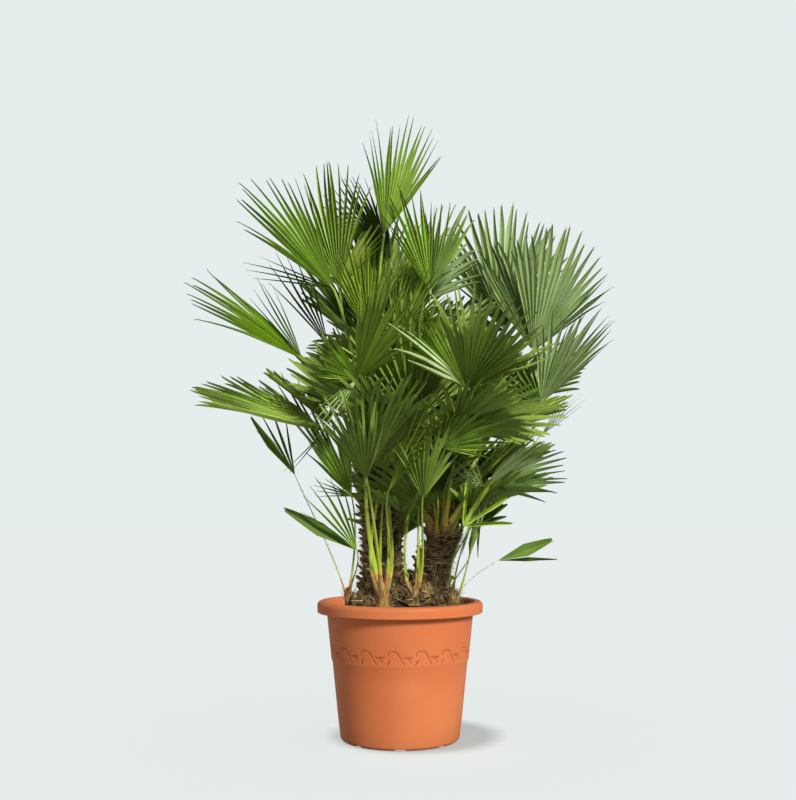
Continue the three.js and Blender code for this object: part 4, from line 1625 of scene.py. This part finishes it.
@dataclass
class Stalks:
    """Draws the fronds' stalks: flared sheathed bases, smooth ribbed lengths, and small spines."""

    base: float = 0.0068
    end: float = 0.0032
    slim: float = 0.68
    full_ribs: float = 8.0
    small: float = 0.26
    upward: float = 0.5
    steep: float = 2.2
    lift: float = 0.34
    pull: float = 0.3
    sunk: float = 0.012
    steps: int = 18
    sides: int = 8
    flare: float = 1.5
    small_flare: float = 0.5
    flare_length: float = 0.028
    sheathed: float = 0.022
    nose: float = 0.022
    nose_width: float = 0.12
    narrowing: float = 0.7
    flat_top: float = 0.42
    round_under: float = 0.75
    tones: tuple[float, float] = (0.9, 1.1)
    spine: float = 0.0045
    spine_thick: float = 0.0006
    spine_lengths: tuple[float, float] = (0.6, 1.3)
    spine_leans: tuple[float, float] = (0.4, 1.0)
    spine_wander: float = 0.008
    spined: tuple[float, float] = (0.12, 0.9)
    amber: tuple[float, float] = (0.06, 0.2)
    lime: tuple[float, float] = (0.38, 0.66)
    stout: dict[str, float] = field(default_factory=lambda: {"front_sucker": 1.3})

    def curve(self, frond: Frond, t: float) -> tuple[Vector, Vector]:
        """Finds a point of a stalk's curve.

        Args:
            frond: the frond it belongs to.
            t: its share of the way along, from the foot.

        Returns:
            Its place and the direction of the curve there.
        """
        along, _, _ = frond.axes()
        way = frond.hub - frond.root
        upward = self.upward if frond.on.startswith("trunk") else self.steep
        out = (frond.way + UP * upward).normalized()
        end = (way.normalized() + along).normalized()
        a, b = frond.root, frond.root + out * (way.length * self.lift)
        c, d = frond.hub - end * (way.length * self.pull), frond.hub
        s = 1.0 - t
        place = a * s ** 3 + b * (3 * s * s * t) + c * (3 * s * t * t) + d * t ** 3
        return place, ((b - a) * (3 * s * s) + (c - b) * (6 * s * t) + (d - c) * (3 * t * t)).normalized()

    def draw(self, sheaf: Sheaf, frond: Frond, rough: Random) -> None:
        """Adds one stalk with its spines.

        Args:
            sheaf: the mesh to add to.
            frond: the frond.
            rough: the seeded numbers.
        """
        along, side, _ = frond.axes()
        slim = (self.slim if frond.reach < self.small else 1.0) * min(1.0, frond.ribs / self.full_ribs)
        slim *= self.stout.get(frond.on, 1.0)
        length = (frond.hub - frond.root).length
        flare = self.flare if frond.on.startswith("trunk") else self.small_flare
        rings, places = [], []
        amber = rough.uniform(*self.amber)
        lime = amber + rough.uniform(*self.lime)
        skins = ((self.sheathed / length, Skin.SHEATH), (amber, Skin.AMBER), (lime, Skin.LIME))
        for k in range(self.steps + 1):
            t = k / self.steps
            place, way = self.curve(frond, t)
            if k == 0:
                place = place - way * self.sunk
            flared = 1.0 + flare * exp(-t * length / self.flare_length)
            size = mix(self.base, self.end, t ** self.narrowing) * slim * flared
            across = (side - way * side.dot(way)).normalized()
            top = way.cross(across)
            corners = []
            for i in range(self.sides):
                turn = tau * i / self.sides
                high = self.flat_top if sin(turn) > 0 else self.round_under
                corners.append(place + across * (size * cos(turn)) + top * (size * high * sin(turn)))
            rings.append(corners)
            places.append(next((skin.value for end, skin in skins if t < end), Skin.GREEN.value))
            if self.spined[0] < t < self.spined[1]:
                self.spines(sheaf, place, way, across, size, rough)
        nose = frond.hub + along * self.nose
        rings.append([nose + (point - frond.hub) * self.nose_width for point in rings[-1]])
        sheaf.tube(rings, places, rough.uniform(*self.tones))

    def spines(
        self, sheaf: Sheaf, place: Vector, way: Vector, across: Vector, size: float, rough: Random
    ) -> None:
        """Adds a pair of forward-pointing spines on a stalk's edges.

        Args:
            sheaf: the mesh to add to.
            place: the stalk's middle.
            way: the stalk's direction.
            across: the way to its edges.
            size: half its width.
            rough: the seeded numbers.
        """
        for hand in (-1.0, 1.0):
            at = place + across * (hand * size * 0.8)
            at += way * rough.uniform(-self.spine_wander, self.spine_wander)
            point = (across * hand + way * rough.uniform(*self.spine_leans)).normalized()
            length = self.spine * rough.uniform(*self.spine_lengths)
            sheaf.strand(at, point, way * 0.3, length, self.spine_thick, Skin.SPINE.value)


@dataclass
class Blades:
    """Grows the fronds' fans, each leaflet a stiff folded strip that is joined to its neighbours low down."""

    joined: float = 0.44
    pleat: float = 0.0047
    shortening: float = 0.24
    finer: float = 1.2
    fold_more: float = 0.45
    rib_thick: float = 0.0013
    notch: float = 0.955
    sag: float = 0.035
    sag_from: float = 0.36
    stray: float = 0.045
    lengths: tuple[float, float] = (0.95, 1.03)
    tones: tuple[float, float] = (0.7, 1.3)
    forks: tuple[float, float] = (0.1, 0.3)
    dry: float = 0.3
    tip_length: tuple[float, float] = (0.4, 1.0)
    tip_spread: float = 0.4
    tip_droop: float = 0.25
    rib_thinning: float = 0.7
    kept_clear: tuple[float, float] = (0.3, 0.6)
    web: tuple[float, ...] = (0.05, 0.3, 0.62, 1.0)
    free: tuple[float, ...] = (0.16, 0.34, 0.52, 0.7, 0.86)
    seed: int = 41

    def reach_at(self, frond: Frond, k: float) -> float:
        """Returns a leaflet's length at a place from -1 to 1 across the fan."""
        return frond.reach * (1.0 - self.shortening * k * k)

    def draw(self, sheaf: Sheaf, frond: Frond, rough: Random, stems: Iterable[Stem]) -> None:
        """Adds one fan and its folds.

        Args:
            sheaf: the mesh to add to.
            frond: the frond.
            rough: the seeded numbers.
            stems: the stems that no leaflet may enter.
        """
        for fold in frond.folds:
            self.draw(sheaf, fold, rough, stems)
        count = max(1, round(frond.ribs * self.finer))
        half = radians(frond.spread) / 2
        low, high, *_ = Cut.of(frond.ribs, frond.tone, frond.reach).value
        splits = [rough.uniform(low, high) for _ in range(count + 1)]
        splits[0] = splits[-1] = low
        for i in range(count):
            k = -1.0 + 2.0 * (i + 0.5) / count
            way = frond.blade_way(k * half) * self.reach_at(frond, k)
            if not any(stem.holds(frond.hub + way * share) for stem in stems for share in self.kept_clear):
                self.leaflet(sheaf, frond, (i, count, half), splits[i:i + 2], rough)

    def leaflet(
        self, sheaf: Sheaf, frond: Frond, slot: tuple[int, int, float], splits: list[float], rough: Random
    ) -> None:
        """Adds one leaflet: a shared web at its foot, then a folded strip that narrows to a forked tip.

        Args:
            sheaf: the mesh to add to.
            frond: the frond.
            slot: the leaflet's number, how many there are, and half the fan's angle.
            splits: where it parts from its neighbour on either hand, as a share of its length.
            rough: the seeded numbers.
        """
        index, count, half = slot
        _, _, full, peak, taper = Cut.of(frond.ribs, frond.tone, frond.reach).value
        k = -1.0 + 2.0 * (index + 0.5) / count
        way = frond.blade_way(k * half)
        edges = [frond.blade_way((-1.0 + 2.0 * (index + hand) / count) * half) for hand in (0, 1)]
        side = (edges[1] - edges[0]).normalized()
        face = way.cross(side).normalized()
        length = self.reach_at(frond, k) * rough.uniform(*self.lengths)
        part = min(splits)
        droop = Vector((0.0, 0.0, -rough.uniform(0.0, self.sag))) * length
        droop += (side * rough.uniform(-1.0, 1.0) + face * rough.uniform(-1.0, 1.0)) * (self.stray * length)
        wide = 0.5 * (edges[1] - edges[0]).length
        shares = [w * part for w in self.web] + [mix(part, self.notch, u / self.free[-1]) for u in self.free]
        stations = []
        for share in shares:
            r = share * length
            rise = self.pleat * min(1.0, share / self.joined)
            bend = droop * max(0.0, (share - self.sag_from) / (1.0 - self.sag_from)) ** 2
            rib = frond.hub + way * r - face * rise + bend
            margins = []
            for hand, edge, split in ((-1.0, edges[0], splits[0]), (1.0, edges[1], splits[1])):
                if share <= split:
                    margins.append(frond.hub + edge * r + face * rise + bend)
                    continue
                u = (share - split) / (1.0 - split)
                flat = wide * length * max(split, min(share, peak)) * mix(1.0, full, min(1.0, 5 * u))
                fold = atan2(2 * self.pleat, flat) + self.fold_more * u
                out = hypot(flat, 2 * self.pleat) * (1.0 - u) ** taper
                margins.append(rib + side * (hand * out * cos(fold)) + face * (out * sin(fold)))
            under = rib - face * (self.rib_thick * (1.0 - self.rib_thinning * share))
            stations.append((margins[0], rib, margins[1], under))
        tone = rough.uniform(*self.tones)
        last = stations[-1]
        spare = (1.0 - self.notch) * length
        fork = rough.uniform(*self.forks)
        tips = []
        for hand, margin in ((-1.0, last[0]), (1.0, last[2])):
            tip = margin.lerp(last[1], 0.5) + way * (spare * rough.uniform(*self.tip_length))
            tips.append(tip + side * (hand * fork * spare * self.tip_spread) + droop * self.tip_droop)
        upper = frond.tone.value
        over = Tone.TIP.value if rough.random() < self.dry else upper
        self.skin(sheaf, stations, tips, shares, tone, (upper, over))

    def skin(
        self, sheaf: Sheaf, stations: list[tuple[Vector, ...]], tips: list[Vector], shares: list[float],
        tone: float, colours: tuple[int, int],
    ) -> None:
        """Covers a leaflet's stations with faces, its upper and under sides in their own colours.

        Args:
            sheaf: the mesh to add to.
            stations: edge, rib, edge and under-rib points along the leaflet.
            tips: the two points of its forked tip.
            shares: each station's place along the leaflet.
            tone: its tone.
            colours: the places of its face's material and of its tip's.
        """
        first = sheaf.put((point for station in stations for point in station), tone)
        upper, over = colours
        under = Tone.UNDER.value
        for j, (low, high) in enumerate(zip(shares, shares[1:])):
            a, b = first + 4 * j, first + 4 * (j + 1)
            sheaf.face((a, b, b + 1, a + 1), upper, (0.0, 0.0, 0.5, 0.5), (low, high, high, low))
            sheaf.face((a + 1, b + 1, b + 2, a + 2), upper, (0.5, 0.5, 1.0, 1.0), (low, high, high, low))
            sheaf.face((a, a + 3, b + 3, b), under, (0.0, 0.5, 0.5, 0.0), (low, low, high, high))
            sheaf.face((a + 3, a + 2, b + 2, b + 3), under, (0.5, 1.0, 1.0, 0.5), (low, low, high, high))
        sheaf.face(range(first, first + 4), under)
        end = first + 4 * (len(stations) - 1)
        left = sheaf.put(tips, tone)
        right = left + 1
        sheaf.face((end, left, end + 1), over, (0.0, 0.25, 0.5), (0.9, 1.0, 0.9))
        sheaf.face((end + 1, right, end + 2), over, (0.5, 0.75, 1.0), (0.9, 1.0, 0.9))
        sheaf.face((end, end + 3, left), under, (0.0, 0.5, 0.25), (0.9, 0.9, 1.0))
        sheaf.face((end + 3, end + 2, right), under, (0.5, 1.0, 0.75), (0.9, 0.9, 1.0))
        sheaf.face((end + 1, left, end + 3), under)
        sheaf.face((end + 1, end + 3, right), under)


@dataclass
class Clump:
    """The whole plant: its stems and every frond on them."""

    stems: dict[str, Stem]

    def build(self, palette: Palette) -> list[Object]:
        """Builds the stems, then the stalks and fans stem group by stem group.

        Args:
            palette: the finishes.

        Returns:
            The finished pieces.
        """
        pieces = []
        for stem in self.stems.values():
            pieces += stem.build(palette)
        fronds = Crown(self.stems).grow()
        stalks, blades = Stalks(), Blades()
        for label, ending in (("left", "trunk_left"), ("right", "trunk_right"), ("young", "sucker")):
            rough = Random(f"{label}{blades.seed}")
            fans, rods, nodes = Sheaf(), Sheaf(), []
            for number, frond in enumerate(fronds, 1):
                if frond.on.endswith(ending):
                    if number <= FROND_NODES:
                        nodes.append(f"frond_{number:02d}")
                    stalks.draw(rods, frond, rough)
                    blades.draw(fans, frond, rough, self.stems.values())
            pieces.append(dress(fans.build(f"{label}_fans"), palette.leaves, nodes))
            rod = rods.build(f"{label}_stalks")
            Bench.smooth(rod, 55.0)
            pieces.append(dress(rod, palette.stalks))
        return pieces


def clump_stems() -> dict[str, Stem]:
    """Returns the two trunks and the six suckers by name."""

    def spot(x: float, y: float, z: float = SOIL_LEVEL * 1000) -> Vector:
        """Returns a place given in millimetres, at the soil unless a height is given."""
        return Vector((x, y, z)) / 1000.0

    stems = [
        Trunk("trunk_left", spot(-46, 8), spot(-72, 0, 742), 0.053, 0.017, 13, 0.044, 2400, 11),
        Trunk("trunk_right", spot(68, 0), spot(124, 6, 540), 0.046, 0.021, 8, 0.041, 1700, 12, 0.14, True),
        Sucker("left_sucker", spot(-133, -42), spot(-139, -48, 398), 0.011, bright=True),
        Sucker("front_sucker", spot(-44, -94), spot(-46, -100, 412), 0.016, 1.0, True),
        Sucker("middle_sucker", spot(34, -74), spot(38, -82, 402), 0.012),
        Sucker("right_sucker", spot(136, -62), spot(143, -70, 390), 0.011),
        Sucker("back_sucker", spot(-8, 104), spot(-12, 112, 408), 0.015),
        Sucker("far_sucker", spot(118, 92), spot(126, 102, 400), 0.013),
    ]
    return {stem.name: stem for stem in stems}


@dataclass
class Studio:
    """The pale floor, the soft light and the camera."""

    pale: Colour = (0.791, 0.847, 0.847)
    distance: float = 2.9
    eye: float = 0.61
    shift_left: float = 0.0055
    tilt: float = 6.01
    lens: float = 47.16
    floor_half: float = 30.0
    sky: float = 0.4
    floor_white: float = 0.35
    floor_glow: float = 0.5
    sky_light: Colour = (0.84, 0.82, 0.76)

    def build(self, pot: Object) -> None:
        """Sets up the camera, the lamps, the surroundings and the floor.

        The key lights the plant. The low key falls on the pot alone and the overhead light on the floor, and
        only the pot stands in their way.

        Args:
            pot: the pot.
        """
        blockers = bpy.data.collections.new("overhead_blockers")
        blockers.objects.link(pot)
        scene = bpy.context.scene
        scene.view_settings.view_transform = "Standard"
        camera = bpy.data.objects.new("camera", bpy.data.cameras.new("camera"))
        scene.collection.objects.link(camera)
        camera.location = (-self.shift_left, -self.distance, self.eye)
        camera.rotation_euler = (radians(90.0 + self.tilt), 0.0, 0.0)
        camera.data.lens = self.lens
        scene.camera = camera
        self.surroundings()
        floor = self.floor()
        self.sun("key", (46.0, 32.0), 5.3, 9.0, "EXCLUDE", [floor, pot], None)
        self.sun("low_key", (62.0, 34.0), 3.9, 14.0, "INCLUDE", [pot], blockers)
        self.sun("overhead", (10.5, -42.0), 2.8, 12.0, "INCLUDE", [floor], blockers)

    def sun(
        self, name: str, aim: tuple[float, float], strength: float, softness: float, state: str,
        pieces: list[Object], blockers: bpy.types.Collection | None,
    ) -> None:
        """Adds a soft distant light.

        Args:
            name: the light's name.
            aim: its angle from overhead, and its turn from the front towards the right, in degrees.
            strength: its strength.
            softness: its width across the sky in degrees.
            state: whether it lights only some pieces, or all but those.
            pieces: those pieces.
            blockers: all that stands in its way, or None for everything.
        """
        lamp = bpy.data.lights.new(name, "SUN")
        lamp.energy = strength
        lamp.angle = radians(softness)
        light = bpy.data.objects.new(name, lamp)
        light.rotation_euler = (radians(aim[0]), 0.0, radians(aim[1]))
        bpy.context.scene.collection.objects.link(light)
        lit = bpy.data.collections.new(f"{name}_lit")
        for number, piece in enumerate(pieces):
            lit.objects.link(piece)
            lit.collection_objects[number].light_linking.link_state = state
        light.light_linking.receiver_collection = lit
        light.light_linking.blocker_collection = blockers

    def surroundings(self) -> None:
        """Makes the pale surroundings, which light the plant less strongly than they look."""
        world = bpy.data.worlds.new("studio")
        world.use_nodes = True
        nodes = Nodes(world.node_tree)
        backdrop = world.node_tree.nodes["Background"].inputs
        seen = nodes.add("LightPath").outputs["Is Camera Ray"]
        nodes.feed(backdrop["Color"], nodes.blend(seen, self.sky_light, self.pale))
        nodes.feed(backdrop["Strength"], nodes.spread(seen, 0.0, 1.0, self.sky, 1.0))
        bpy.context.scene.world = world

    def floor(self) -> Object:
        """Returns the pale floor, which glows for the camera alone so that it meets the backdrop unseen."""
        Bench.clear()
        bpy.ops.mesh.primitive_plane_add(size=2 * self.floor_half)
        floor = bpy.context.active_object
        floor.name = "floor"
        skin = Surface("floor_pale", 1.0, 0.0)
        tint = tuple(self.floor_white * level / max(self.pale) for level in self.pale)
        skin.shader["Base Color"].default_value = (*tint, 1.0)
        skin.shader["Emission Color"].default_value = (*self.pale, 1.0)
        seen = skin.add("LightPath").outputs["Is Camera Ray"]
        skin.feed(skin.shader["Emission Strength"], skin.maths("MULTIPLY", seen, self.floor_glow))
        floor.data.materials.append(skin.material)
        return floor


def main() -> None:
    """Builds the pot, the compost, the plant and the studio in order, and reports each piece."""
    logging.basicConfig(level=logging.INFO, format="%(message)s")
    palette = Palette()
    pieces = []
    for part in (Pot(), Compost(), Mound(), Clump(clump_stems())):
        pieces += part.build(palette)
    Studio().build(pieces[0])
    total = sum(len(piece.data.loop_triangles) for piece in pieces)
    LOG.info("%d pieces, %d triangles", len(pieces), total)


if __name__ == "__main__":
    main()
